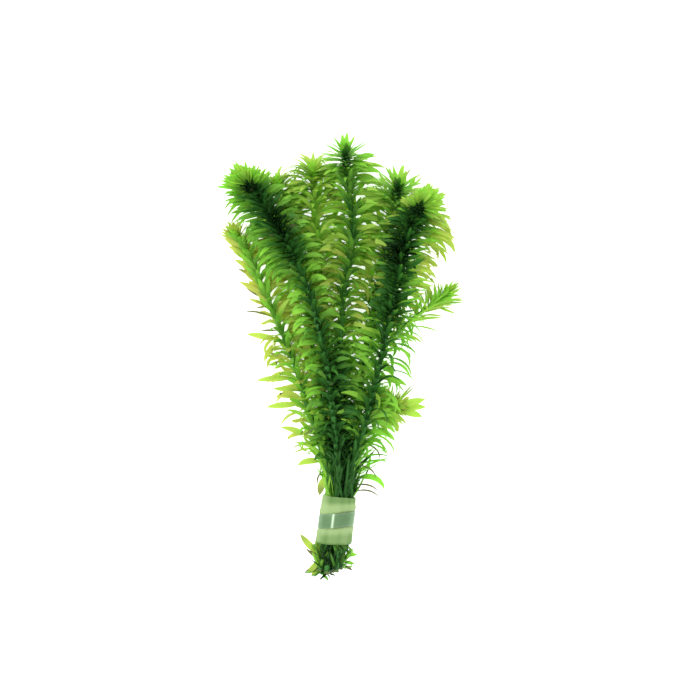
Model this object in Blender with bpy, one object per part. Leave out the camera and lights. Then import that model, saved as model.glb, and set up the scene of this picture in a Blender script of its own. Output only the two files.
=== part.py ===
"""A tied bunch of Brazilian waterweed, lying on its side.

Metres, +Z up. The bunch lies on the plane Z = 0 with its cut ends towards -Y and its tips towards +Y.
Seven cut shoots and two side shoots carry whorls of four leaves. A foam wrap and a soft metal weight
strip hold the shoots together above their cut ends. The origin is under the middle of the bunch.
"""

import math
import random
from bisect import bisect_left

import bmesh
import bpy
from mathutils import Vector
from mathutils.bvhtree import BVHTree

MM = 0.001
SEED = 7
GAP = 0.3 * MM

# Stems: thickest at the cut end, with a square section whose corners lie on this radius
STEM_RADIUS = 1.5 * MM
TIP_RADIUS = 0.8 * MM
TAPER_LENGTH = 140 * MM
NODE_HEIGHT = 1.1 * MM
BUD_LENGTH = 2.0 * MM
ROUTE_STEP = 0.5 * MM
OBSTACLE_STEP = 2.0 * MM

# Whorls: close together at the tip, then evenly spaced, each turned half a leaf from the next
LEAVES_IN_WHORL = 4
WHORL_TURN = math.radians(22.5)
TIP_WHORLS = (1.2 * MM, 4.0 * MM, 8.0 * MM, 13.0 * MM, 19.0 * MM)
WHORL_SPACING = 8.4 * MM
FIRST_WHORL_ABOVE_WRAP = 2.5 * MM
FIRST_WHORL_ON_SIDE_SHOOT = 4.5 * MM

# Leaves: their length, lift from the stem and outward curve at the tip, 13 mm below it and lower down
LEAF_LENGTHS = (9.5 * MM, 15.0 * MM, 18.5 * MM)
LEAF_LIFTS = (math.radians(20), math.radians(60))
LEAF_CURVES = (math.radians(12), math.radians(44))
YOUNG_ZONE = 13 * MM
MATURE_ZONE = 85 * MM
LEAF_WIDTH = 3.5 * MM
WIDTH_OF_SHORT_LEAF = 0.25
LEAF_THICKNESS = 0.5 * MM
WIDEST_AT = 0.55
DROOP = 0.15
ALONG_SURFACE = 0.35
BLADE_FROM = 0.35

# Leaves below the wrap
STUB_LEAF_LENGTH = 7.5 * MM
STUB_LEAF_LIFT = math.radians(20)
STUB_LEAF_CURVE = math.radians(14)
STUB_WHORL_AT = 0.45

# Leaves just above the wrap are shorter than the rule, by this share, up to this height
NECK_SHARE = 0.68
NECK_HEIGHT = 42 * MM

# How much each leaf differs from the rule, and what is tried where there is little room
LENGTH_SPREAD = (0.9, 1.08)
ANGLE_SPREAD = math.radians(6)
SHORTEST_LEAF = 3.0 * MM
LEAST_LIFT = math.radians(12)
TRIED_LENGTHS = (1.0, 0.85, 0.7, 0.55, 0.42)
TRIED_TURNS = tuple(math.radians(a) for a in (0, 17, -17, 34, -34))
TRIED_LIFTS = tuple(math.radians(a) for a in (0, -12, 12, -24, -36, -48))

# Foam wrap, along its centre line from its upper end to its lower end
WRAP_TOP = Vector((0.85, -70.1, 7.0)) * MM
WRAP_BOTTOM = Vector((-2.15, -93.9, 7.0)) * MM
WRAP_HALF_WIDTHS = (8.15 * MM, 8.75 * MM)
WRAP_HALF_HEIGHT = 7.6 * MM
WRAP_WALL = 1.5 * MM
WRAP_RIM = 0.5 * MM
WRAP_SHOULDER = 1.0 * MM
WRAP_WIDENS_OVER = 9 * MM
WRAP_START = math.radians(212)
WRAP_SLIT = math.radians(3)
WRAP_STEPS = 20
TOP_SLANT = -0.11
BOTTOM_SLANT = -0.05

# Weight strip
STRIP_WIDTH = 7.2 * MM
STRIP_THICKNESS = 0.5 * MM
STRIP_FROM_TOP = 8.2 * MM
STRIP_SLANT = 0.086
STRIP_START = math.radians(63)
STRIP_TURNS = 1.12
STRIP_RISES_AT = 0.82
STRIP_STEPS = 22

# Places of the stems where the wrap holds them, across and up from its centre line
HELD_AT = {
    "left_front": (-1.5, 3.2),
    "right_front": (2.8, 3.1),
    "centre": (0.5, -0.1),
    "left_outer": (-4.9, 0.2),
    "mid_right": (5.0, -0.4),
    "mid_left": (0.9, -3.7),
    "left_inner": (-3.2, -3.0),
}

# Length of each cut end below the wrap
STUB_LENGTHS = {
    "left_front": 15.4,
    "right_front": 12.8,
    "centre": 14.8,
    "left_outer": 14.2,
    "mid_right": 11.2,
    "mid_left": 15.0,
    "left_inner": 16.0,
}

# Centre line of each stem above the wrap, as it lies
ROUTES = {
    "left_front": (
        (0.2, -61.3, 12.5), (-0.8, -41.3, 16.0), (-3.3, -18.9, 20.0), (-6.3, 1.1, 22.0),
        (-9.8, 16.1, 23.0), (-13.8, 31.1, 23.5), (-19.3, 44.7, 23.0), (-26.3, 58.7, 22.0),
        (-33.3, 70.7, 20.5), (-38.8, 78.9, 20.5), (-42.3, 83.7, 23.0), (-44.3, 86.4, 27.5),
    ),
    "right_front": (
        (6.7, -56.3, 12.5), (10.7, -43.9, 15.0), (14.2, -31.3, 17.5), (17.7, -17.3, 20.0),
        (20.7, -3.9, 21.5), (23.7, 8.7, 22.5), (26.2, 21.1, 22.5), (28.7, 33.7, 22.0),
        (31.2, 46.1, 21.5), (34.2, 57.1, 21.0), (37.2, 66.1, 21.5), (39.7, 72.1, 24.0),
        (41.2, 75.5, 28.5),
    ),
    "centre": (
        (2.7, -51.3, 9.5), (2.0, -31.3, 12.5), (1.4, -11.3, 14.5), (1.4, 6.1, 15.5),
        (2.0, 19.7, 16.0), (3.4, 32.7, 16.0), (6.0, 45.7, 15.5), (7.4, 58.7, 14.5),
        (7.2, 72.7, 13.5), (5.7, 86.1, 13.0), (4.7, 96.1, 14.0), (4.0, 103.1, 16.0),
    ),
    "left_outer": (
        (-5.8, -55.3, 7.5), (-10.3, -39.3, 8.0), (-15.3, -24.9, 8.0), (-19.3, -11.3, 8.0),
        (-23.3, 1.1, 8.0), (-28.3, 12.7, 8.0), (-33.8, 26.1, 8.0), (-39.3, 38.7, 8.0),
        (-45.3, 52.1, 8.5), (-51.3, 62.9, 10.0),
    ),
    "mid_right": (
        (7.7, -52.3, 7.5), (9.2, -36.3, 8.0), (10.7, -21.3, 8.5), (12.7, -6.3, 8.5),
        (15.2, 8.7, 8.5), (18.2, 22.7, 8.5), (21.2, 36.1, 8.5), (24.2, 49.7, 9.0), (26.7, 62.7, 9.5),
        (29.2, 75.1, 11.0), (30.2, 86.1, 14.0),
    ),
    "mid_left": (
        (0.7, -52.3, 5.5), (-1.3, -33.9, 7.0), (-3.3, -13.9, 7.5), (-5.3, 6.1, 8.0),
        (-7.3, 23.7, 8.0), (-8.8, 41.1, 8.0), (-10.3, 58.7, 8.0), (-11.3, 73.7, 8.5),
        (-12.3, 85.1, 9.5), (-12.6, 91.7, 11.0),
    ),
    "left_inner": (
        (-3.3, -52.3, 6.0), (-6.8, -33.9, 7.5), (-9.8, -16.3, 8.0), (-12.3, 1.1, 8.0),
        (-14.8, 18.7, 8.0), (-17.3, 34.7, 8.0), (-20.3, 49.7, 8.0), (-23.8, 63.7, 8.0),
        (-27.8, 76.1, 9.0), (-30.3, 84.7, 11.0),
    ),
}

# Centre line of each side shoot, and where along Y it forks from the right front shoot
SIDE_ROUTES = {
    "side_shoot_upper": (
        (31.2, 13.4, 19.5), (35.2, 17.4, 18.0), (41.2, 22.1, 16.5), (47.7, 26.7, 15.5),
        (52.2, 30.1, 15.5), (54.7, 32.7, 17.0),
    ),
    "side_shoot_lower": (
        (19.2, -28.1, 16.5), (23.2, -26.3, 15.5), (27.7, -24.9, 15.5), (30.7, -24.1, 16.5),
    ),
}
FORKS_AT = {"side_shoot_upper": 6.9, "side_shoot_lower": -31.1}
PARENT = "right_front"

# How long the leaves of each shoot are, beside the rule
VIGOUR = {
    "left_front": 1.14,
    "right_front": 1.18,
    "centre": 0.86,
    "left_outer": 1.14,
    "mid_right": 0.9,
    "mid_left": 0.95,
    "left_inner": 0.9,
    "side_shoot_upper": 0.8,
    "side_shoot_lower": 0.9,
}

FRONT_SHOOTS = ("left_front", "right_front", "centre")
COLOURS = {
    "front_shoot": (0.035, 0.13, 0.02),
    "back_shoot": (0.12, 0.30, 0.03),
    "foam_wrap": (0.50, 0.64, 0.40),
    "weight_strip": (0.36, 0.42, 0.38),
}


def plain_material(name, roughness, metallic=0.0):
    """A Principled material in the piece's own colour."""
    material = bpy.data.materials.new(name)
    material.use_nodes = True
    shader = material.node_tree.nodes["Principled BSDF"]
    shader.inputs["Base Color"].default_value = (*COLOURS[name], 1.0)
    shader.inputs["Roughness"].default_value = roughness
    shader.inputs["Metallic"].default_value = metallic
    return material


def add_object(name, bm, material, smooth_below=None):
    """Turns a finished bmesh into a named object with a material."""
    bmesh.ops.recalc_face_normals(bm, faces=bm.faces)
    mesh = bpy.data.meshes.new(name)
    bm.to_mesh(mesh)
    bm.free()
    mesh.materials.append(material)
    if smooth_below is not None:
        mesh.shade_smooth()
        mesh.set_sharp_from_angle(angle=smooth_below)
    thing = bpy.data.objects.new(name, mesh)
    bpy.context.collection.objects.link(thing)
    return thing


def smoothstep(x):
    x = min(max(x, 0.0), 1.0)
    return x * x * (3 - 2 * x)


def mix(a, b, share):
    return a + (b - a) * share


def draw_face_on(bm, face, corners):
    """Extrudes a face to the corners given, and returns the new end face and the sides drawn."""
    made = bmesh.ops.extrude_face_region(bm, geom=[face, *face.edges])["geom"]
    end = next(item for item in made if isinstance(item, bmesh.types.BMFace))
    for vert, corner in zip(end.verts, corners):
        vert.co = corner
    sides = [other for edge in end.edges for other in edge.link_faces if other is not end]
    return end, sides


# Stems


def curve_through(points):
    """A smooth curve through the points, sampled closely: a Catmull-Rom spline."""
    ends = [points[0] * 2 - points[1], *points, points[-1] * 2 - points[-2]]
    line = []
    for before, start, end, after in zip(ends, ends[1:], ends[2:], ends[3:]):
        steps = max(2, round((end - start).length / ROUTE_STEP))
        for step in range(steps):
            t = step / steps
            bend = 2 * before - 5 * start + 4 * end - after
            twist = 3 * start - before - 3 * end + after
            line.append((2 * start + (end - before) * t + bend * t * t + twist * t * t * t) / 2)
    line.append(points[-1])
    return line


class Stem:
    """A stem's centre line, with its frame and its radius at each distance from the lower end."""

    def __init__(self, points, wrapped=None, parent=None):
        self.wrapped = wrapped
        self.parent = parent
        self.line = curve_through(points)
        self.along = [0.0]
        for a, b in zip(self.line, self.line[1:]):
            self.along.append(self.along[-1] + (b - a).length)
        self.length = self.along[-1]
        befores = [self.line[0], *self.line]
        afters = [*self.line[1:], self.line[-1]]
        self.tangents = [(after - before).normalized() for before, after in zip(befores, afters)]
        side = Vector((0, 0, 1)).cross(self.tangents[0]).normalized()
        self.sides = []
        for tangent in self.tangents:
            side = (side - tangent * side.dot(tangent)).normalized()
            self.sides.append(side)

    def at(self, distance):
        """Point, tangent, side and up on the stem."""
        distance = min(max(distance, 0.0), self.length)
        i = min(max(bisect_left(self.along, distance), 1), len(self.line) - 1)
        share = (distance - self.along[i - 1]) / (self.along[i] - self.along[i - 1])
        tangent, side = self.tangents[i], self.sides[i]
        return self.line[i - 1].lerp(self.line[i], share), tangent, side, tangent.cross(side)

    def outward(self, distance, around):
        """The direction straight out of the stem at this angle round it, and the one across that."""
        _, _, side, up = self.at(distance)
        cosine, sine = math.cos(around), math.sin(around)
        return side * cosine + up * sine, up * cosine - side * sine

    def radius(self, distance):
        return mix(TIP_RADIUS, STEM_RADIUS, smoothstep((self.length - distance) / TAPER_LENGTH))

    def corners(self, distance, grow=0.0):
        """The four corners of the stem's square section."""
        point = self.at(distance)[0]
        radius = self.radius(distance) + grow
        angles = [(corner + 0.5) * math.pi / 2 for corner in range(4)]
        return [point + self.outward(distance, angle)[0] * radius for angle in angles]

    def first_corners(self):
        """The corners of the lower end. A side shoot's end is mitred to clear the stem it forks from."""
        corners = self.corners(0.0)
        if self.parent is None:
            return corners
        tangent = self.tangents[0]
        clear = self.parent.radius(0.0) + GAP
        mitred = []
        for corner in corners:
            while min((corner - point).length for point in self.parent.line) < clear:
                corner = corner + tangent * (GAP / 4)
            mitred.append(corner)
        return mitred

    def obstacle(self):
        """The bare stem with the clearance round it, for testing leaves against."""
        steps = max(2, round(self.length / OBSTACLE_STEP))
        rings = [self.corners(self.length * i / steps, grow=GAP) for i in range(steps + 1)]
        quads = [(k, (k + 1) % 4, (k + 1) % 4 + 4, k + 4) for k in range(4)]
        faces = [tuple(4 * i + corner for corner in quad) for i in range(steps) for quad in quads]
        return BVHTree.FromPolygons([corner for ring in rings for corner in ring], faces)


def main_stem(name):
    """A stem from its cut end, through the wrap, and along its own route."""
    across, up = HELD_AT[name]
    held = Vector((across, 0, up)) * MM
    down = WRAP_BOTTOM - WRAP_TOP
    stub = STUB_LENGTHS[name] * MM
    bottom = WRAP_BOTTOM + held
    free = [Vector(point) * MM for point in ROUTES[name]]
    cut_end = bottom + down.normalized() * stub
    return Stem([cut_end, bottom, WRAP_TOP + held, *free], wrapped=(stub, stub + down.length))


def side_stem(name, parent):
    """A stem that forks from its parent's centre line at a given height."""
    fork = min(parent.line, key=lambda point: abs(point.y - FORKS_AT[name] * MM))
    return Stem([fork, *(Vector(point) * MM for point in SIDE_ROUTES[name])], parent=parent)


def whorl_distances(stem):
    """Distances of the whorls from the stem's lower end, lowest first. None is inside the wrap."""
    lowest = FIRST_WHORL_ON_SIDE_SHOOT if stem.wrapped is None else stem.wrapped[1] + FIRST_WHORL_ABOVE_WRAP
    from_tip = list(TIP_WHORLS)
    while from_tip[-1] + WHORL_SPACING < stem.length - lowest:
        from_tip.append(from_tip[-1] + WHORL_SPACING)
    found = [stem.length - distance for distance in reversed(from_tip) if distance < stem.length - lowest]
    if stem.wrapped is not None:
        found.insert(0, stem.wrapped[0] * STUB_WHORL_AT)
    return found


# Leaves


class Leaf:
    """A flat blade that leaves the stem at an angle and curves outwards to a point."""

    def __init__(self, stem, distance, around, lift, curve, length):
        point, self.tangent, _, _ = stem.at(distance)
        outward, self.across = stem.outward(distance, around)
        self.half_base = stem.radius(distance) * math.cos(math.pi / 4)
        self.base = point + outward * self.half_base
        self.half_width = min(LEAF_WIDTH, length * WIDTH_OF_SHORT_LEAF) / 2
        first = self.tangent * math.cos(lift) + outward * math.sin(lift)
        second = self.tangent * math.cos(lift + curve) + outward * math.sin(lift + curve)
        second = (second - Vector((0, 0, DROOP))).normalized()
        self.middle = self.reach(self.base, first, length * WIDEST_AT, LEAF_THICKNESS)
        self.tip = self.reach(self.middle, second, length * (1 - WIDEST_AT), 0.0)

    def reach(self, start, direction, distance, lowest):
        """The end of a stretch of leaf. One that would pass under the surface is laid along it."""
        end = start + direction * distance
        if end.z >= lowest:
            return end
        drop = lowest - start.z
        run = math.sqrt(max(distance * distance - drop * drop, 0.0))
        flat = direction + self.tangent * ALONG_SURFACE
        flat.z = 0
        return start + flat.normalized() * run + Vector((0, 0, drop))

    def sections(self, grow=0.0):
        """Corners of the section at the stem and of the widest one, keyed by their signs across and along."""
        towards = (self.tip - self.base).normalized()
        across = (self.across - towards * self.across.dot(towards)).normalized()
        face = towards.cross(across)
        if face.dot(self.tangent) < 0:
            face.negate()
        at_stem, widest = {}, {}
        for a, b in ((-1, -1), (1, -1), (1, 1), (-1, 1)):
            sideways, along = a * (self.half_base + grow), b * (NODE_HEIGHT / 2 + grow)
            at_stem[a, b] = self.base + self.across * sideways + self.tangent * along
            sideways, along = a * (self.half_width + grow), b * (LEAF_THICKNESS / 2 + grow)
            widest[a, b] = self.middle + across * sideways + face * along
            widest[a, b].z = max(widest[a, b].z, -grow)
        return at_stem, widest

    def tree(self, grow=0.0, from_share=0.0):
        """The blade thickened by grow, without the share of it nearest the stem, for tests of overlap."""
        at_stem, widest = self.sections(grow)
        points = [at_stem[key].lerp(widest[key], from_share) for key in at_stem]
        points += widest.values()
        points.append(self.tip + (self.tip - self.middle).normalized() * grow)
        rim = [(k, (k + 1) % 4) for k in range(4)]
        faces = [(a, b, b + 4, a + 4) for a, b in rim] + [(a + 4, b + 4, 8) for a, b in rim]
        return BVHTree.FromPolygons(points, faces)


def leaf_rule(stem, distance, vigour):
    """Length, lift and curve of a leaf, from its place on the stem."""
    if stem.wrapped is not None and distance < stem.wrapped[0]:
        return STUB_LEAF_LENGTH, STUB_LEAF_LIFT, STUB_LEAF_CURVE
    from_tip = stem.length - distance
    young = smoothstep(from_tip / YOUNG_ZONE)
    mature = smoothstep(from_tip / MATURE_ZONE)
    length = mix(mix(LEAF_LENGTHS[0], LEAF_LENGTHS[1], young), LEAF_LENGTHS[2], mature) * vigour
    if stem.wrapped is not None:
        length *= mix(NECK_SHARE, 1.0, smoothstep((distance - stem.wrapped[1]) / NECK_HEIGHT))
    return length, mix(*LEAF_LIFTS, young), mix(*LEAF_CURVES, young)


def grow_leaf(stem, distance, around, vigour, others, own, chance):
    """The fullest leaf that clears everything grown so far, or None where there is no room."""
    length, lift, curve = leaf_rule(stem, distance, vigour)
    length *= chance.uniform(*LENGTH_SPREAD)
    lift += chance.uniform(-ANGLE_SPREAD, ANGLE_SPREAD)
    around += chance.uniform(-ANGLE_SPREAD, ANGLE_SPREAD)
    for share in TRIED_LENGTHS:
        if length * share < SHORTEST_LEAF:
            break
        for turn in TRIED_TURNS:
            for tilt in TRIED_LIFTS:
                tried_lift = max(lift + tilt, LEAST_LIFT)
                leaf = Leaf(stem, distance, around + turn, tried_lift, curve, length * share)
                whole = leaf.tree(grow=GAP)
                if any(whole.overlap(other) for other in others):
                    continue
                blade = leaf.tree(grow=GAP / 2, from_share=BLADE_FROM)
                if not any(blade.overlap(other) for other in own):
                    return leaf
    return None


def grow_whorls(stem, vigour, others, chance):
    """All whorls of one shoot: the distance of each, and its leaf or None for each side of the stem."""
    whorls, blades = [], []
    for number, distance in enumerate(whorl_distances(stem)):
        turn = WHORL_TURN if number % 2 else -WHORL_TURN
        leaves = []
        for side in range(LEAVES_IN_WHORL):
            around = side * math.pi / 2 + turn
            leaf = grow_leaf(stem, distance, around, vigour, others, blades, chance)
            leaves.append(leaf)
            if leaf is not None:
                blades.append(leaf.tree(from_share=BLADE_FROM))
        whorls.append((distance, leaves))
    return whorls


# Solids


def draw_leaf(bm, side, leaf):
    """Draws a leaf out of one side of a node of the stem."""
    blade = bmesh.ops.extrude_discrete_faces(bm, faces=[side])["faces"][0]
    _, widest = leaf.sections()
    centre = blade.calc_center_median()
    for vert in blade.verts:
        offset = vert.co - centre
        vert.co = widest[
            1 if offset.dot(leaf.across) > 0 else -1,
            1 if offset.dot(leaf.tangent) > 0 else -1,
        ]
    tip = bmesh.ops.poke(bm, faces=[blade])["verts"][0]
    tip.co = leaf.tip


def build_shoot(name, stem, whorls, material):
    """One closed solid: the stem with its leaves grown out of it."""
    bm = bmesh.new()
    end = bm.faces.new([bm.verts.new(corner) for corner in stem.first_corners()])
    for distance, leaves in sorted(whorls + [(distance, None) for distance in stem.wrapped or ()]):
        if leaves is None:
            end, _ = draw_face_on(bm, end, stem.corners(distance))
            continue
        end, _ = draw_face_on(bm, end, stem.corners(distance - NODE_HEIGHT / 2))
        end, sides = draw_face_on(bm, end, stem.corners(distance + NODE_HEIGHT / 2))
        point = stem.at(distance)[0]
        for number, leaf in enumerate(leaves):
            if leaf is None:
                continue
            outward = stem.outward(distance, number * math.pi / 2)[0]
            side = max(sides, key=lambda face: (face.calc_center_median() - point).dot(outward))
            draw_leaf(bm, side, leaf)
            sides.remove(side)
    point, tangent, _, _ = stem.at(stem.length)
    bud = bmesh.ops.poke(bm, faces=[end])["verts"][0]
    bud.co = point + tangent * BUD_LENGTH
    return add_object(name, bm, material)


def wrap_point(angle, from_top, inset, slant):
    """A point this deep in the wrap, whose section is an ellipse flattened where it lies on the surface."""
    centre = WRAP_TOP + (WRAP_BOTTOM - WRAP_TOP).normalized() * from_top
    half_width = mix(*WRAP_HALF_WIDTHS, smoothstep(from_top / WRAP_WIDENS_OVER)) - inset
    x = half_width * math.cos(angle)
    z = max((WRAP_HALF_HEIGHT - inset) * math.sin(angle), inset - centre.z)
    return centre + Vector((x, x * slant, z))


def wind(name, section, start, turned, steps, material, smooth_below):
    """Bends a flat piece round the bunch. The section gives the corners of its cut end at each angle."""
    bm = bmesh.new()
    end = bm.faces.new([bm.verts.new(corner) for corner in section(start)])
    for step in range(1, steps + 1):
        end, _ = draw_face_on(bm, end, section(start + turned * step / steps))
    return add_object(name, bm, material, smooth_below)


def build_foam_wrap(material):
    """Soft foam bent once round the stems until its ends meet, pressed in under the weight strip."""
    length = (WRAP_BOTTOM - WRAP_TOP).length
    pressed = STRIP_THICKNESS + GAP
    groove_top = STRIP_FROM_TOP - GAP
    groove_bottom = STRIP_FROM_TOP + STRIP_WIDTH + GAP
    profile = (
        (0.0, WRAP_WALL, TOP_SLANT),
        (0.0, WRAP_RIM, TOP_SLANT),
        (WRAP_RIM, 0.0, TOP_SLANT),
        (groove_top - WRAP_SHOULDER, 0.0, STRIP_SLANT),
        (groove_top, pressed, STRIP_SLANT),
        (groove_bottom, pressed, STRIP_SLANT),
        (groove_bottom + WRAP_SHOULDER, 0.0, STRIP_SLANT),
        (length - WRAP_RIM, 0.0, BOTTOM_SLANT),
        (length, WRAP_RIM, BOTTOM_SLANT),
        (length, WRAP_WALL, BOTTOM_SLANT),
    )

    def section(angle):
        return [wrap_point(angle, *row) for row in profile]

    turned = 2 * math.pi - WRAP_SLIT
    return wind("foam_wrap", section, WRAP_START, turned, WRAP_STEPS, material, math.radians(45))


def build_weight_strip(material):
    """A soft metal strip bent once round the foam, with its end lapped over its start."""
    rows = ((0.0, 0.0), (STRIP_WIDTH, 0.0), (STRIP_WIDTH, STRIP_THICKNESS), (0.0, STRIP_THICKNESS))

    def section(angle):
        turns = (angle - STRIP_START) / (2 * math.pi)
        rise = smoothstep((turns - STRIP_RISES_AT) / (1 - STRIP_RISES_AT)) * (STRIP_THICKNESS + GAP)
        return [wrap_point(angle, STRIP_FROM_TOP + down, depth - rise, STRIP_SLANT) for down, depth in rows]

    turned = 2 * math.pi * STRIP_TURNS
    return wind("weight_strip", section, STRIP_START, turned, STRIP_STEPS, material, math.radians(35))


def surface_tree(thing):
    points = [vert.co for vert in thing.data.vertices]
    return BVHTree.FromPolygons(points, [face.vertices for face in thing.data.polygons])


def main():
    for thing in list(bpy.data.objects):
        bpy.data.objects.remove(thing, do_unlink=True)
    front = plain_material("front_shoot", roughness=0.45)
    back = plain_material("back_shoot", roughness=0.45)
    wrap = build_foam_wrap(plain_material("foam_wrap", roughness=0.8))
    strip = build_weight_strip(plain_material("weight_strip", roughness=0.38, metallic=0.9))

    stems = {name: main_stem(name) for name in ROUTES}
    for name in SIDE_ROUTES:
        stems[name] = side_stem(name, stems[PARENT])
    bare = {name: stem.obstacle() for name, stem in stems.items()}
    grown = [surface_tree(wrap), surface_tree(strip)]

    chance = random.Random(SEED)
    for name, stem in stems.items():
        others = grown + [tree for other, tree in bare.items() if other != name]
        whorls = grow_whorls(stem, VIGOUR[name], others, chance)
        node_name = name if stem.parent else "shoot_" + name
        shoot = build_shoot(node_name, stem, whorls, front if name in FRONT_SHOOTS else back)
        grown.append(surface_tree(shoot))


main()
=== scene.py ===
import math
import random
from dataclasses import dataclass

import bmesh
import bpy
from bpy.props import FloatProperty, FloatVectorProperty, IntProperty, PointerProperty
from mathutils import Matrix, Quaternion, Vector, noise
from mathutils.kdtree import KDTree


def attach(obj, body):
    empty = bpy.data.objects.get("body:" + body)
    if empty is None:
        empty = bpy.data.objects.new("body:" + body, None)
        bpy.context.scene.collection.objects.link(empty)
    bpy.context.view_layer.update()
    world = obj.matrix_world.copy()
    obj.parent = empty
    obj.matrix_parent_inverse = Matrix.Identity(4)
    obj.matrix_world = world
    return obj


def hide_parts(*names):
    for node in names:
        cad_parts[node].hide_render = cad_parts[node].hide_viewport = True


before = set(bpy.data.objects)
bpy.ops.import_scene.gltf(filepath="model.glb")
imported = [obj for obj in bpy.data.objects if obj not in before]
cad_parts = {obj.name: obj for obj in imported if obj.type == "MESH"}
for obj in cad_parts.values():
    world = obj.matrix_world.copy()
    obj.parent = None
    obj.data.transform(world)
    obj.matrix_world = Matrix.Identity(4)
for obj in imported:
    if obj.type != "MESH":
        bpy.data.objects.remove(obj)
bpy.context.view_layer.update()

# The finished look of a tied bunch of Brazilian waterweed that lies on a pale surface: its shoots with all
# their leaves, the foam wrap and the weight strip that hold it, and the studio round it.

bl_info = {
    "name": "Brazilian Waterweed Bunch",
    "version": (1, 0, 0),
    "blender": (4, 5, 0),
    "location": "View3D > Sidebar > Waterweed",
    "description": "Models a tied bunch of Brazilian waterweed lying on its side",
    "category": "Add Mesh",
}

MM = 0.001
SEED = 11
LOWER_FROM = 45


@dataclass
class Plan:
    """How one shoot lies and grows, in millimetres and degrees. A pair is for its left and its right side."""

    # Its centre line above the wrap or past the fork, where the wrap holds it, across and up from the middle,
    # how far its cut end stands out below the wrap, or else where it forks from its parent, along Y
    route: tuple
    held: tuple = None
    stub: float = None
    fork: float = None

    # Shade from 0, yellow green, to 1, nearly black, partly the leaves' own colour and partly painted shade:
    # near the tip, below it, lower down, the painted shade along the stem, and how dark the painted shade in
    # the middle of the crown is
    tip_shade: float = 0.0
    shade: float = 0.0
    lower_shade: float = 0.0
    axis_shade: float = 0.0
    core: float = 0.0

    # Length of its leaves beside the usual: of all, in the crown, below it, and lower down, from where on
    vigour: float = 1.0
    crown_reach: tuple = (1.0, 1.0)
    top_reach: tuple = (1.0, 1.0)
    lower_reach: tuple = (1.0, 1.0)
    lower_from: float = LOWER_FROM

    # Width beside the usual, in the crown and of all, how far crown leaves spread beside the usual, how much
    # they arch out and down, and how far below the tip no leaf outside the heart's dark side is short
    crown_width: float = 1.0
    slim: float = 1.0
    crown_lift: float = 1.0
    open_crown: float = 0.0
    dense_fan: float = 0.0

    # Beside the usual, space between whorls on young and on old stem, lift and curve. How flat blades lie
    spacing: float = 1.0
    old_spacing: float = 1.25
    lift_share: float = 1.0
    curve_share: float = 1.0
    flat_share: tuple = (0.2, 0.9)

    # Stretches below the tip, on side -1, the left, 1, the right, or 0, both. Upright leaves: side, end,
    # share of the lift and of the curve. Thin leaves: side, start, end, share that is missing. Heart of
    # painted
    # shade: start, end, how far it faces to the right, share of a leaf that its foot's shade takes, shade
    upright_side: tuple = None
    thin_side: tuple = None
    heart: tuple = None


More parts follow.
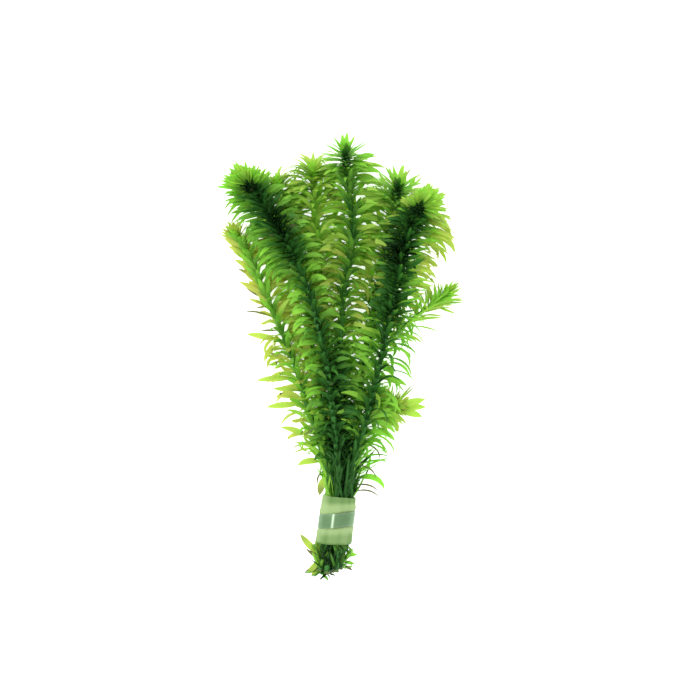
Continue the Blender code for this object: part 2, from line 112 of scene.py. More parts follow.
MAIN_SHOOTS = {
    "left_front": Plan(
        held=(-1.5, 3.2), stub=15.4, tip_shade=0.36, shade=0.6, lower_shade=0.52, axis_shade=0.9, core=1.0,
        vigour=1.14, crown_reach=(1.15, 0.85), top_reach=(0.9, 0.8), lower_reach=(0.66, 0.66),
        crown_width=1.15, crown_lift=0.5, dense_fan=44, upright_side=(-1, 14, 0.8, 0.35),
        heart=(0, 46, 30, 0.5, 0.78),
        route=(
            (0.2, -61.3, 12.5), (-0.8, -41.3, 16.0), (-3.3, -18.9, 20.0), (-6.3, 1.1, 22.0),
            (-9.8, 16.1, 23.0), (-13.8, 31.1, 23.5), (-19.3, 44.7, 23.0), (-26.3, 58.7, 22.0),
            (-33.3, 70.7, 20.5), (-38.8, 78.9, 20.5), (-42.3, 83.7, 23.0), (-44.3, 86.4, 27.5),
        ),
    ),
    "right_front": Plan(
        held=(2.8, 3.1), stub=14.6, tip_shade=0.36, shade=0.14, lower_shade=0.48, axis_shade=0.88,
        core=1.0, vigour=1.18, crown_reach=(0.72, 1.15), top_reach=(1.05, 1.38), lower_reach=(0.8, 0.97),
        lower_from=14, crown_width=1.3, crown_lift=0.75, dense_fan=22, thin_side=(1, 50, 200, 0.05),
        heart=(0, 60, -55, 0.6, 0.8),
        route=(
            (6.7, -56.3, 12.5), (10.7, -43.9, 15.0), (14.2, -31.3, 17.5), (17.7, -17.3, 20.0),
            (20.7, -3.9, 21.5), (23.7, 8.7, 22.5), (26.2, 21.1, 22.5), (28.7, 33.7, 22.0),
            (31.2, 46.1, 21.5), (34.2, 57.1, 21.0), (37.2, 66.1, 21.5), (39.7, 72.1, 24.0),
            (41.2, 75.5, 28.5),
        ),
    ),
    "centre": Plan(
        held=(0.5, -0.1), stub=15.4, tip_shade=0.42, shade=0.28, lower_shade=0.1, axis_shade=0.72,
        core=0.8, vigour=0.92, crown_reach=(1.45, 1.45), top_reach=(1.15, 1.32), lower_reach=(0.95, 0.95),
        crown_width=1.35, spacing=0.8, thin_side=(1, 48, 68, 0.35),
        route=(
            (2.7, -51.3, 9.5), (2.0, -31.3, 12.5), (1.4, -11.3, 14.5), (1.4, 6.1, 15.5), (2.0, 19.7, 16.0),
            (3.4, 32.7, 16.0), (6.0, 45.7, 15.5), (7.4, 58.7, 14.5), (7.2, 72.7, 13.5), (5.7, 86.1, 13.0),
            (4.7, 96.1, 14.0), (4.0, 103.1, 16.0),
        ),
    ),
    "left_outer": Plan(
        held=(-4.9, 0.2), stub=15.0, tip_shade=0.08, shade=0.04, lower_shade=0.1, axis_shade=0.55,
        core=0.15, top_reach=(0.78, 1.0), lower_reach=(0.88, 1.0), old_spacing=2.0, flat_share=(0.4, 1.0),
        upright_side=(-1, 42, 0.38, 0.3), thin_side=(-1, 40, 56, 0.35),
        route=(
            (-5.8, -55.3, 7.5), (-10.3, -39.3, 8.0), (-15.3, -24.9, 8.0), (-19.3, -11.3, 8.0),
            (-23.3, 1.1, 8.0), (-28.3, 12.7, 8.0), (-33.8, 26.1, 8.0), (-39.3, 38.7, 8.0),
            (-45.3, 52.1, 8.5), (-51.3, 62.9, 10.0),
        ),
    ),
    "mid_right": Plan(
        held=(5.0, -0.4), stub=13.6, tip_shade=0.36, shade=0.28, lower_shade=0.42, axis_shade=0.65,
        core=1.0, vigour=0.95, crown_reach=(1.75, 1.8), top_reach=(1.6, 1.15), crown_width=1.35,
        spacing=0.8,
        route=(
            (7.7, -52.3, 7.5), (9.2, -36.3, 8.0), (10.7, -21.3, 8.5), (12.7, -6.3, 8.5), (15.2, 8.7, 8.5),
            (18.2, 22.7, 8.5), (21.2, 36.1, 8.5), (24.2, 49.7, 9.0), (26.7, 62.7, 9.5), (29.2, 75.1, 11.0),
            (30.2, 86.1, 14.0),
        ),
    ),
    "mid_left": Plan(
        held=(0.9, -3.7), stub=15.0, tip_shade=0.24, shade=0.3, lower_shade=0.2, axis_shade=0.22, core=0.2,
        vigour=0.95, crown_reach=(1.55, 1.35), top_reach=(1.3, 1.3), lower_reach=(0.9, 0.9),
        crown_width=1.3, open_crown=0.8, spacing=0.82,
        route=(
            (0.7, -52.3, 5.5), (-1.3, -33.9, 7.0), (-3.3, -13.9, 7.5), (-5.3, 6.1, 8.0), (-7.3, 23.7, 8.0),
            (-8.8, 41.1, 8.0), (-10.3, 58.7, 8.0), (-11.3, 73.7, 8.5), (-12.3, 85.1, 9.5),
            (-12.4, 94.4, 11.5),
        ),
    ),
    "left_inner": Plan(
        held=(-3.2, -3.0), stub=16.0, tip_shade=0.2, shade=0.3, lower_shade=0.14, axis_shade=0.3, core=0.3,
        vigour=0.95, crown_reach=(1.3, 1.35), top_reach=(1.15, 1.15), lower_reach=(0.9, 0.9),
        crown_width=1.2, open_crown=0.7, spacing=0.85,
        route=(
            (-3.3, -52.3, 6.0), (-6.8, -33.9, 7.5), (-9.8, -16.3, 8.0), (-12.3, 1.1, 8.0),
            (-14.8, 18.7, 8.0), (-17.3, 34.7, 8.0), (-20.3, 49.7, 8.0), (-23.8, 63.7, 8.0),
            (-27.8, 76.1, 9.0), (-30.8, 87.2, 11.5),
        ),
    ),
}

# Side shoots fork from the right front one
PARENT = "right_front"
SIDE_SHOOTS = {
    "side_shoot_upper": Plan(
        fork=6.9, tip_shade=0.3, shade=0.22, lower_shade=0.2, axis_shade=0.4, core=0.3, vigour=0.8,
        crown_reach=(0.9, 1.35), top_reach=(0.9, 1.4), lower_reach=(1.0, 0.8), lower_from=26, slim=0.68,
        lift_share=0.8, curve_share=0.5, upright_side=(1, 20, 0.62, 0.3), thin_side=(0, 6, 200, 0.3),
        route=(
            (31.2, 13.4, 19.5), (35.2, 17.4, 18.0), (41.2, 22.1, 16.5), (47.7, 26.7, 15.5),
            (52.2, 30.1, 15.5), (54.7, 32.7, 17.0),
        ),
    ),
    "side_shoot_lower": Plan(
        fork=-31.1, tip_shade=0.14, shade=0.25, lower_shade=0.2, axis_shade=0.35, vigour=0.95,
        lift_share=0.62, flat_share=(0.5, 1.0),
        route=(
            (19.2, -28.1, 16.5), (23.2, -26.3, 15.5), (27.7, -24.9, 15.5), (30.7, -24.1, 16.5),
        ),
    ),
}

# Single leaves that stand out of the foliage: where the foot is along Y in millimetres, its place round the
# stem from the left over the top to the right, lift and outward curve, all in degrees, length in millimetres,
# width beside that of a full-grown leaf, and how withered it is from 0 to 1
STRAY_LEAVES = {
    "left_outer": (
        (-100.5, 8, 52, -6, 15.0, 1.15, 0.45), (-101.5, 10, 20, -8, 10.0, 1.0, 0.0),
        (-104.0, 5, 32, -20, 8.0, 1.1, 0.0), (-102.5, 12, 150, -15, 9.0, 1.0, 0.0),
        (-104.5, 0, 158, -10, 6.5, 1.0, 0.0), (-107.0, 0, 112, 10, 6.5, 0.5, 1.0),
        (-100.5, -10, 72, 5, 7.0, 0.5, 0.8), (-104.5, 0, 118, 20, 8.5, 0.35, 1.0),
        (-102.5, 0, 62, -10, 9.0, 0.45, 0.9), (-53.5, 15, 52, 60, 14.0, 1.1, 0.0),
        (-59.5, 30, 132, 30, 10.5, 1.25, 0.6), (-57.0, -5, 105, 80, 9.0, 0.3, 1.0),
        (-47.0, 0, 52, 60, 14.5, 0.35, 0.4), (-44.0, 20, 55, 52, 14.5, 0.35, 0.4),
        (-44.0, 10, 30, 36, 21.5, 1.1, 0.1), (-24.0, 10, 68, 16, 19.5, 1.1, 0.0),
        (-17.0, 5, 62, 14, 14.0, 0.9, 0.0), (-11.0, 5, 68, 14, 20.5, 1.1, 0.0),
        (-1.0, 5, 58, 6, 14.0, 0.7, 0.0), (8.0, 5, 48, 12, 19.5, 1.1, 0.0),
        (13.5, 0, 62, 10, 9.5, 0.4, 0.9), (20.0, 5, 40, 34, 15.5, 0.35, 0.9),
        (29.0, 5, 40, -8, 12.5, 0.35, 0.9), (26.0, 0, 72, 10, 7.0, 0.35, 0.8),
    ),
    "mid_right": (
        (-105.0, 180, 100, 20, 5.5, 0.5, 1.0), (-100.5, 175, 60, 30, 7.0, 0.7, 0.0),
        (-103.5, 185, 75, 30, 6.0, 0.6, 0.3), (-62.5, 172, 44, 112, 19.5, 1.05, 0.0),
        (-65.0, 180, 60, 75, 14.5, 0.3, 1.0), (-68.3, 178, 56, 80, 15.5, 0.3, 1.0),
        (80.0, 0, 66, 50, 15.5, 1.1, 0.0), (76.5, 5, 70, 56, 16.5, 1.1, 0.0),
    ),
    "right_front": (
        (-54.0, 190, 70, 75, 14.5, 0.3, 0.9), (-38.0, 178, 50, 78, 17.0, 1.05, 0.0),
        (-43.5, 165, 58, 110, 14.0, 0.3, 1.0), (-33.0, 175, 55, 82, 16.0, 0.9, 0.0),
        (-9.0, 180, 84, 24, 14.5, 1.0, 0.0), (-10.5, 185, 76, 66, 16.5, 0.3, 0.4),
    ),
    "centre": (
        (96.0, 178, 58, 32, 14.5, 1.15, 0.1), (91.0, 176, 62, 58, 16.5, 1.1, 0.0),
        (87.0, 182, 66, 62, 16.5, 1.1, 0.0),
    ),
    "left_front": (
        (83.0, 10, 62, 48, 17.5, 0.55, 0.4), (80.5, 5, 66, 50, 18.5, 0.55, 0.4),
        (78.0, 5, 70, 48, 19.0, 0.55, 0.4), (75.0, 5, 72, 50, 18.5, 0.55, 0.4),
    ),
    "side_shoot_lower": (
        (-24.5, 90, 6, 4, 16.5, 1.3, 0.0), (-24.9, 170, 28, 8, 15.5, 1.3, 0.0),
        (-24.6, 180, 10, 6, 15.5, 1.2, 0.0), (-26.6, 180, 58, 15, 11.5, 1.1, 0.0),
        (-24.9, 0, 31, 0, 15.0, 0.32, 0.5), (-24.7, 10, 27, 0, 14.5, 0.3, 0.5),
    ),
}

# Stems
STEM_RADIUS = 1.45 * MM
TIP_RADIUS = 0.75 * MM
TAPER_LENGTH = 140 * MM
ROUTE_STEP = 0.5 * MM
STEM_SIDES = 8
STEM_STEP = 2.0 * MM
JOINT_SWELLING = 0.14
JOINT_HEIGHT = 0.7 * MM
RAGGED_END = 0.7 * MM
ROUNDED_TIP = 0.4
WITHERED_END = 0.7

# How leaves grow down a shoot: distance from its tip and length in millimetres, then lift and outward curve
GROWTH = (
    (0.0, 6.5, 6, 0),
    (1.5, 8.0, 34, 5),
    (3.0, 9.5, 58, 14),
    (5.0, 11.5, 72, 24),
    (8.0, 13.5, 70, 42),
    (15.0, 16.0, 62, 60),
    (50.0, 17.0, 57, 70),
    (90.0, 18.0, 55, 75),
)
YOUNG_ZONE = 15 * MM
YOUNG_WIDTH = 0.58
LOWER_OVER = 20 * MM
CROWN_FROM = 3 * MM
CROWN_END = 14 * MM
OPEN_LIFT = math.radians(24)
OPEN_CURVE = math.radians(130)
OPEN_LENGTH = 17 * MM
COVER_LIFT = 0.62
COVER_WIDTH = 0.75
UPRIGHT_OVER = 15
THIN_OVER = 15 * MM
THIN_CURVE = 1.4
THIN_WIDTH = 0.8
THIN_FLAT = 0.5
DROOP = 0.25

# Which leaves of a whorl face up: how sharply they part from the others, and from where. DARK_TOP picks
# those on top of the stem that get painted shade
ON_TOP = (2, 0.4)
UPPER_HALF = (2, 0)
NOT_LONGER = (1.5, 0)
DARK_TOP = (2.2, 1.0)

# How much leaves differ from each other: by share, then in radians and in degrees
LENGTH_SPREAD = (0.82, 1.08)
WIDTH_SPREAD = (0.88, 1.08)
CURVE_SPREAD = (0.6, 1.35)
TURN_SPREAD = 0.15
ANGLE_SPREAD = 7.0
NECK_SPREAD = 9.0
TWIST_SPREAD = 18.0
STRAY_FLAT = 0.95

# Leaves near the wrap stand closer to the stem, and those below it are short
NECK_LIFT = math.radians(15)
NECK_CURVE = math.radians(4)
NECK_WIDTH = 0.7
NECK_FLAT = 0.3
NECK_HEIGHT = 46 * MM
OUTER_NECK_HEIGHT = 34 * MM
STUB_LENGTHS = (10.5 * MM, 12 * MM)
STUB_LIFTS = (math.radians(36), math.radians(20))
STUB_LOWEST = 3 * MM
LOWEST_LENGTH = 0.6
LOWEST_LIFT = 2.8

# Whorls: close at the tip, even below it, wider apart on old stem and close again below the wrap
FIRST_WHORL = 0.8 * MM
LAST_WHORL = 0.5 * MM
TIP_SPACING = 0.6 * MM
CLOSE_ZONE = 22 * MM
OLD_FROM = 55 * MM
OLD_OVER = 40 * MM
STUB_SPACING = 1.7 * MM
HIDDEN_FEET = 5 * MM

# The blade: its width along its length, its fold and thickness, and how it keeps clear of things
LEAF_STEPS = 8
FOOT_WIDTH = 0.55
TIP_WIDTH = 0.12
WIDE_FROM = 0.3
WIDE_TO = 0.6
TIP_POWER = 1.8
BLADE_FOLD = 0.22
THINNER_EDGE = 0.55
THINNER_TIP = 0.4
FOOT_DEPTH = 0.75
FLATTENS_SOONER = 1.6
FLOOR_CLEARANCE = 0.25 * MM
FLOOR_AHEAD = 0.3
STEEPEST = 0.95
TURNED_OVER = -0.1
STEM_CLEARANCE = 0.5 * MM

# The dark heart of a front shoot, where more and steeper leaves are seen end on and get painted shade,
# blackest a little below the tip. It fades over millimetres
HEART_FADES = (3, 10)
HEART_LIFT = math.radians(74)
HEART_CURVE = 0.15
HEART_WIDTH = 0.85
HEART_SPACING = 0.6
HEART_SHADE = 1.15
HEART_LIGHTER_TIP = 0.08
BLACKEST_BELOW_TIP = 29 * MM
BLACKEST_SPREAD = 8 * MM
DARK_FROM = 0.52
DARK_OVER = 0.3
DARK_LEAF = 0.72
DARK_TIP_LEAF = 0.5
SHORT_LEAF = 0.42
TIP_FACES_TO = 5 * MM
TIP_FACES_OVER = 6 * MM

# Shades of stems and leaves, partly their own colour and partly painted shade. A leaf has painted shade at
# its foot, where leaves crowd round the stem, and is lighter to its tip. The crown's middle gets painted
# shade
STEM_SHADE = 0.35
LIGHTER_TIP = 0.25
STRAY_SHADE = 0.1
SHADE_SPREAD = 0.06
FOOT_LENGTH = 0.34
CORE_SHADE = 0.95
CORE_BELOW_TIP = 3.2 * MM
CORE_SPREAD = 3.2 * MM
WITHERED_CHANCE = 0.02
WITHERED_LEAF = 0.5
WITHERED_FROM = (0.7, -0.2)
WITHERED_OVER = 0.4

# Painted shade in the crowded middle of the neck and of the leaves below the wrap, in millimetres across and
# along Y
NECK_SHADES = (0.35, 0.9)
NECK_LEAN = -0.05
NECK_MIDDLE = 1.5
NECK_FACING = 4
NECK_DARK = (2.5, 6)
NECK_DARK_UP = (-25, 50)
STUB_SHADES = (0.6, 1.15)
STUB_BAND = -3.8 * MM
STUB_BAND_WIDTH = 3.2 * MM

# Wrap and strip
WRAP_TOP = Vector((0.85, -70.1, 7.0)) * MM
WRAP_BOTTOM = Vector((-2.15, -93.9, 7.0)) * MM
WRAP_AXIS = (WRAP_BOTTOM - WRAP_TOP).normalized()
WRAP_LENGTH = (WRAP_BOTTOM - WRAP_TOP).length
WRAP_HALF_WIDTHS = (8.4 * MM, 9.15 * MM)
WRAP_HALF_HEIGHT = 7.6 * MM
WRAP_WALL = 1.3 * MM
WRAP_WIDENS_OVER = 9 * MM
WRAP_START = math.radians(212)
WRAP_SLIT = math.radians(2)
WRAP_GRID = (96, 34)
RIM_RADIUS = 0.9 * MM
RIM_DEPTH = 0.45 * MM
LUMP_DEPTH, LUMPS_ROUND, LUMPS_ALONG = 0.16 * MM, 2.2, 3.5
LUMP_HEIGHT = 0.05 * MM
WAVE_HEIGHT, WAVES_ROUND, WAVES_AT = 0.3 * MM, 1.5, 4.0
TOP_SLANT = -0.11
BOTTOM_SLANT = -0.05
STRIP_WIDTH = 7.2 * MM
STRIP_THICKNESS = 0.5 * MM
STRIP_FROM_TOP = 8.2 * MM
STRIP_SLANT = 0.086
STRIP_START = math.radians(63)
STRIP_TURNS = 1.12
STRIP_LENGTH = STRIP_TURNS * 2 * math.pi * WRAP_HALF_WIDTHS[1]
STRIP_RISES_AT = 0.82
STRIP_GAP = 0.1 * MM
STRIP_GRID = (132, 8)
STRIP_CORNER = (0.5 * MM, 0.8 * MM)
STRIP_WALL = STRIP_THICKNESS * 0.9
DENT_DEPTH, DENTS_ROUND, DENTS_ACROSS, DENTS_AT = 0.07 * MM, 2.4, 1.6, 9.0
EDGE_CURL = 0.1 * MM
# Painted highlight: a lighter colour, faint along the strip's edges and full on the lip of its lapped end
EDGE_HIGHLIGHT = 0.1
LIP_HEIGHT = 0.2 * MM
LIP_AT = (0.9, 0.5)
STRAIGHT_BY = STRIP_FROM_TOP - 1 * MM
GROOVE_SIDE = 0.9 * MM
SWELLING = 0.2 * MM
SWELLING_AT = 1.6 * MM
LOWEST = 0.03 * MM

# How the foliage widens from the bore of the wrap: by share of the bore, and over millimetres
BORE = Vector((7.0 * MM, 0, 5.9 * MM))
BASE_BULGE, BASE_BULGE_OVER = 0.5, 2.5
BASE_FLARE, BASE_FLARE_OVER = 0.45, 10
TIE_SHOULDER, TIE_SHOULDER_OVER = 0.14, 1.5
TIE_FLARE = 0.03
TIE_SPREAD = 0.00013

# Where stems show green through the foam, in millimetres from its top, and in degrees round it
TINT_UPPER, TINT_UPPER_AT = 0.75, (2.0, 3.0)
TINT_LOWER, TINT_LOWER_AT = 0.6, (17.0, 3.5)
TINT_END = 2.2 * MM
TINT_LEFT, TINT_LEFT_AT = 0.45, (125, 25)
STREAK_TINT, STREAKS_ROUND, STREAKS_ALONG = 0.3, 3.2, 0.05

# Looks that are no setting: at which shade each green stands, how blotchy leaves are, their pale rib, and how
# they wither and let light through, then stems, foam, and metal with its painted highlight
SHADE_PLACES = (0.0, 0.38, 0.72, 1.0)
BRIGHTEST = 0.97
LEAF_BLOTCHES = 0.3
RIB_NARROWNESS = 11.0
RIB_PALENESS = 0.3
WITHERED_LOOKS = ((0.20, 0.19, 0.09), (0.30, 0.27, 0.12))
LIGHT_THROUGH_LEAF = 0.45
YOUNG_STEM = (0.17, 0.40, 0.03)
CUT_END = (0.16, 0.12, 0.05)
HALF_GROWN = 0.55
STEM_STREAKS = 0.35
SHADED_FOAM = 0.86
LIGHT_THROUGH_FOAM = 0.35
# Colour of the painted highlight on the metal
HIGHLIGHT_METAL = (0.55, 0.72, 0.5)
DULL_METAL = 0.6
METAL_ROUGHNESS = (0.22, 0.35)
SCRATCH_DEPTH = 0.25

# Stage
SURFACE_HALF_WIDTH = 3.0
LAMP_PLACE = Vector((-0.45, 0.35, 0.8))
LAMP_SIZE = 0.7
LAMP_POWER = 3.0
VIEW_MIDDLE = Vector((6.2, 3.65, 15)) * MM


class FoliageSettings(bpy.types.PropertyGroup):
    """Sizes and colours of the stems and leaves"""

    whorl_spacing: FloatProperty(
        name="Whorl spacing", description="Distance between whorls on a grown stem", default=2.9 * MM,
        min=0.002, unit="LENGTH",
    )
    leaves_in_whorl: IntProperty(
        name="Leaves in a whorl", description="Number of leaves at each joint", default=6, min=3
    )
    leaf_width: FloatProperty(
        name="Leaf width", description="Width of a full-grown leaf", default=2.9 * MM, unit="LENGTH"
    )
    leaf_thickness: FloatProperty(
        name="Leaf thickness", description="Thickness of a leaf at its rib", default=0.24 * MM, unit="LENGTH"
    )
    yellow_green: FloatVectorProperty(
        name="Yellow green", description="Colour of the youngest and palest leaves", subtype="COLOR",
        default=(0.53, 0.57, 0.13),
    )
    fresh_green: FloatVectorProperty(
        name="Fresh green", description="Colour of most leaves", subtype="COLOR", default=(0.305, 0.615, 0.07)
    )
    # Dark green is partly the own colour of old leaves and partly painted shade on inner ones
    dark_green: FloatVectorProperty(
        name="Dark green", description="Colour of old and inner leaves", subtype="COLOR",
        default=(0.040, 0.185, 0.028),
    )
    # Painted shade: the near black of the crowded leaves in a front shoot's heart
    heart_green: FloatVectorProperty(
        name="Heart green", description="Colour of the crowded leaves in the heart of a front shoot",
        subtype="COLOR", default=(0.003, 0.030, 0.006),
    )
    glow: FloatVectorProperty(
        name="Glow", description="How much brighter a leaf is where light comes through it", subtype="COLOR",
        default=(1.58, 1.50, 1.8), max=3.0,
    )


class WrapSettings(bpy.types.PropertyGroup):
    """Colours of the foam wrap and the weight strip"""

    foam_colour: FloatVectorProperty(
        name="Foam", description="Colour of the foam", subtype="COLOR", default=(0.42, 0.60, 0.25)
    )
    tint_colour: FloatVectorProperty(
        name="Foam tint", description="Colour of the foam where the stems show through", subtype="COLOR",
        default=(0.11, 0.26, 0.05),
    )
    metal_colour: FloatVectorProperty(
        name="Metal", description="Colour of the weight strip", subtype="COLOR", default=(0.14, 0.25, 0.12)
    )


class StageSettings(bpy.types.PropertyGroup):
    """Camera, surface and light"""

    view_width: FloatProperty(
        name="View width", description="Width of the picture on the bunch", default=350 * MM, unit="LENGTH"
    )
    lens: FloatProperty(name="Lens", description="Focal length in millimetres", default=85.0)
    surface_glow: FloatProperty(
        name="Surface glow", description="Light that the pale surface gives from below", default=0.8, min=0.0
    )
    sky_strength: FloatProperty(name="Sky", description="Strength of the soft light all round", default=1.45)


def smoothstep(x):
    x = min(max(x, 0.0), 1.0)
    return x * x * (3 - 2 * x)


def mix(a, b, share):
    return a + (b - a) * share


def past(value, start, over):
    """0 up to the start, 1 from this far past it on, and smooth between."""
    return smoothstep((value - start) / over)


def hump(value, middle, spread):
    """1 at the middle, fading to 0 at both sides of it."""
    return math.exp(-(((value - middle) / spread) ** 2))


def add_object(name, data):
    """Adds an object in place of an earlier one of its name, so that an operator can run again."""
    old = bpy.data.objects.get(name)
    if old is not None:
        bpy.data.objects.remove(old, do_unlink=True)
    added = bpy.data.objects.new(name, data)
    bpy.context.scene.collection.objects.link(added)
    return added


def mesh_of(name, bm, materials=()):
    """The mesh of a finished bmesh."""
    mesh = bpy.data.meshes.new(name)
    bm.to_mesh(mesh)
    bm.free()
    for material in materials:
        mesh.materials.append(material)
    return mesh


def add_piece(name, bm, materials, nodes, smooth_below=60):
    """Turns a finished bmesh into a piece of the bunch that stands for its CAD nodes."""
    mesh = mesh_of(name, bm, materials)
    mesh.shade_smooth()
    mesh.set_sharp_from_angle(angle=math.radians(smooth_below))
    piece = add_object(name, mesh)
    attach(piece, "root")
    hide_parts(*nodes)


# Stems


def curve_through(points):
    """A smooth curve through the points, sampled closely: a Catmull-Rom spline."""
    ends = [points[0] * 2 - points[1], *points, points[-1] * 2 - points[-2]]
    line = []
    for before, start, end, after in zip(ends, ends[1:], ends[2:], ends[3:]):
        steps = max(2, round((end - start).length / ROUTE_STEP))
        for step in range(steps):
            t = step / steps
            bend = 2 * before - 5 * start + 4 * end - after
            twist = 3 * start - before - 3 * end + after
            line.append((2 * start + (end - before) * t + bend * t * t + twist * t * t * t) / 2)
    line.append(points[-1])
    return line


class Stem:
    """A stem's centre line, with its frame and its radius at each distance from the lower end."""

    def __init__(self, points, stub=None):
        self.stub = stub
        self.line = curve_through(points)
        self.along = [0.0]
        for a, b in zip(self.line, self.line[1:]):
            self.along.append(self.along[-1] + (b - a).length)
        self.length = self.along[-1]
        befores = [self.line[0], *self.line]
        afters = [*self.line[1:], self.line[-1]]
        self.tangents = [(after - before).normalized() for before, after in zip(befores, afters)]
        side = Vector((0, 0, 1)).cross(self.tangents[0]).normalized()
        self.sides = []
        for tangent in self.tangents:
            side = (side - tangent * side.dot(tangent)).normalized()
            self.sides.append(side)

    def at(self, distance):
        """Point, tangent, side and up on the stem."""
        last = len(self.line) - 1
        i = min(round(distance / self.length * last), last)
        while i > 0 and self.along[i] > distance:
            i -= 1
        while i < last - 1 and self.along[i + 1] < distance:
            i += 1
        j = min(i + 1, last)
        span = self.along[j] - self.along[i]
        share = (distance - self.along[i]) / span if span else 0.0
        tangent, side = self.tangents[i], self.sides[i]
        return self.line[i].lerp(self.line[j], share), tangent, side, tangent.cross(side)

    def outward(self, distance, around):
        """The direction straight out of the stem at this angle round it."""
        _, _, side, up = self.at(distance)
        return side * math.cos(around) + up * math.sin(around)

    def radius(self, distance):
        return mix(TIP_RADIUS, STEM_RADIUS, smoothstep((self.length - distance) / TAPER_LENGTH))


def main_stem(plan):
    """A stem from its cut end, through the wrap, and along its own route."""
    across, up = plan.held
    held = Vector((across, 0, up)) * MM
    stub = plan.stub * MM
    bottom = WRAP_BOTTOM + held
    route = [Vector(point) * MM for point in plan.route]
    return Stem([bottom + WRAP_AXIS * stub, bottom, WRAP_TOP + held, *route], stub)


def side_stem(plan, parent):
    """A stem that forks from its parent's centre line."""
    fork = min(parent.line, key=lambda point: abs(point.y - plan.fork * MM))
    return Stem([fork, *(Vector(point) * MM for point in plan.route)])


def all_stems():
    stems = {name: main_stem(plan) for name, plan in MAIN_SHOOTS.items()}
    for name, plan in SIDE_SHOOTS.items():
        stems[name] = side_stem(plan, stems[PARENT])
    return stems


class Crowd:
    """All stems, so that a leaf can be kept clear of those it didn't grow from."""

    def __init__(self, stems):
        self.points = [
            (name, point, stem.radius(distance))
            for name, stem in stems.items()
            for point, distance in zip(stem.line, stem.along)
        ]
        self.tree = KDTree(len(self.points))
        for index, (_, point, _) in enumerate(self.points):
            self.tree.insert(point, index)
        self.tree.balance()

    def push_away(self, place, own):
        """The place, moved out of any other stem."""
        for _, index, gap in self.tree.find_range(place, STEM_RADIUS + STEM_CLEARANCE):
            name, point, radius = self.points[index]
            if name != own and gap < radius + STEM_CLEARANCE:
                return point + (place - point).normalized() * (radius + STEM_CLEARANCE)
        return place


def draw_stem(bm, stem, joints, shade, chance):
    """Draws a stem as a round tube that swells at its joints, with a ragged cut end and a rounded tip."""
    shade_layer = bm.verts.layers.float["shade"]
    withered_layer = bm.verts.layers.float["withered"]
    made = bmesh.ops.create_circle(bm, cap_ends=True, segments=STEM_SIDES, radius=1.0)
    end = made["verts"][0].link_faces[0]
    rings = max(2, round(stem.length / STEM_STEP))
    for ring in range(rings + 1):
        cut = ring == 0 and stem.stub is not None
        distance = stem.length * ring / rings
        if ring:
            made = bmesh.ops.extrude_face_region(bm, geom=[end, *end.edges])["geom"]
            end = next(item for item in made if isinstance(item, bmesh.types.BMFace))
        point, tangent, side, up = stem.at(distance)
        nearest = min(abs(distance - joint) for joint in joints)
        radius = stem.radius(distance) * (1 + JOINT_SWELLING * hump(nearest, 0, JOINT_HEIGHT))
        if ring == rings:
            radius *= ROUNDED_TIP
        for number, vert in enumerate(end.verts):
            angle = 2 * math.pi * number / STEM_SIDES
            vert.co = point + side * (radius * math.cos(angle)) + up * (radius * math.sin(angle))
            vert[shade_layer] = shade
            vert[withered_layer] = WITHERED_END if cut else 0.0
            if cut:
                vert.co += tangent * chance.uniform(0, RAGGED_END)


# Leaves


def add_layers(bm):
    """What the leaf and stem materials read: the blade's own map, its shade, painted shade included, and how
    withered it is.
    """
    bm.loops.layers.uv.new("blade")
    bm.verts.layers.float.new("shade")
    bm.verts.layers.float.new("withered")


def leaf_template():
    """A flat closed blade in its own measures: -1 to 1 across, 0 to 1 along, and 0 or 1 through it."""
    bm = bmesh.new()
    add_layers(bm)
    bmesh.ops.create_grid(bm, x_segments=2, y_segments=LEAF_STEPS, size=1.0, calc_uvs=True)
    bmesh.ops.solidify(bm, geom=bm.faces[:], thickness=1.0)
    lowest = min(vert.co.z for vert in bm.verts)
    for vert in bm.verts:
        vert.co.y = (vert.co.y + 1) / 2
        vert.co.z -= lowest
    bmesh.ops.recalc_face_normals(bm, faces=bm.faces)
    for face in bm.faces:
        face.material_index = 1
    return mesh_of("leaf_template", bm)


def blade_width(t):
    """Half the width at a share of the length: narrow at the stem, then a long even blade, then acute."""
    if t < WIDE_FROM:
        return mix(FOOT_WIDTH, 1.0, math.sin(t / WIDE_FROM * math.pi / 2))
    if t < WIDE_TO:
        return 1.0
    return mix(TIP_WIDTH, 1.0, 1 - ((t - WIDE_TO) / (1 - WIDE_TO)) ** TIP_POWER)


def keep_in_tie(place):
    """Inside the wrap nothing is wider than its bore, and past its ends the leaves fan out from there."""
    from_top = (place - WRAP_TOP).dot(WRAP_AXIS)
    centre = WRAP_TOP + WRAP_AXIS * from_top
    offset = place - centre
    reach = math.hypot(offset.x / BORE.x, offset.z / BORE.z)
    above = max(-from_top, 0.0) / MM
    below = max(from_top - WRAP_LENGTH, 0.0) / MM
    allowed = 1 + BASE_BULGE * smoothstep(below / BASE_BULGE_OVER)
    allowed += BASE_FLARE * smoothstep(below / BASE_FLARE_OVER) * smoothstep(-offset.x / BORE.x)
    allowed += TIE_SHOULDER * smoothstep(above / TIE_SHOULDER_OVER) + TIE_FLARE * above
    allowed += TIE_SPREAD * above**3
    return centre + offset * (allowed / reach) if reach > allowed else place


def grown_leaf(from_tip):
    """Length, lift and curve of a leaf this far from the tip of its shoot."""
    for above, below in zip(GROWTH, GROWTH[1:]):
        if from_tip < below[0] * MM:
            break
    share = min((from_tip / MM - above[0]) / (below[0] - above[0]), 1.0)
    _, length, lift, curve = (mix(a, b, share) for a, b in zip(above, below))
    return length * MM, math.radians(lift), math.radians(curve)


def facing_up(outward, sharpness, start):
    """1 for a leaf on top of its stem, 0 for one under it."""
    return smoothstep(outward.z * sharpness - start)


def level_on_floor(across, height, half_width):
    """Tilts the blade level where its edge would pass under the surface."""
    most = max(height - FLOOR_CLEARANCE / 2, 0.0) / half_width
    if abs(across.z) <= most:
        return across
    flat = Vector((across.x, across.y, 0)).normalized()
    most = min(most, STEEPEST)
    return flat * math.sqrt(1 - most * most) + Vector((0, 0, math.copysign(most, across.z)))


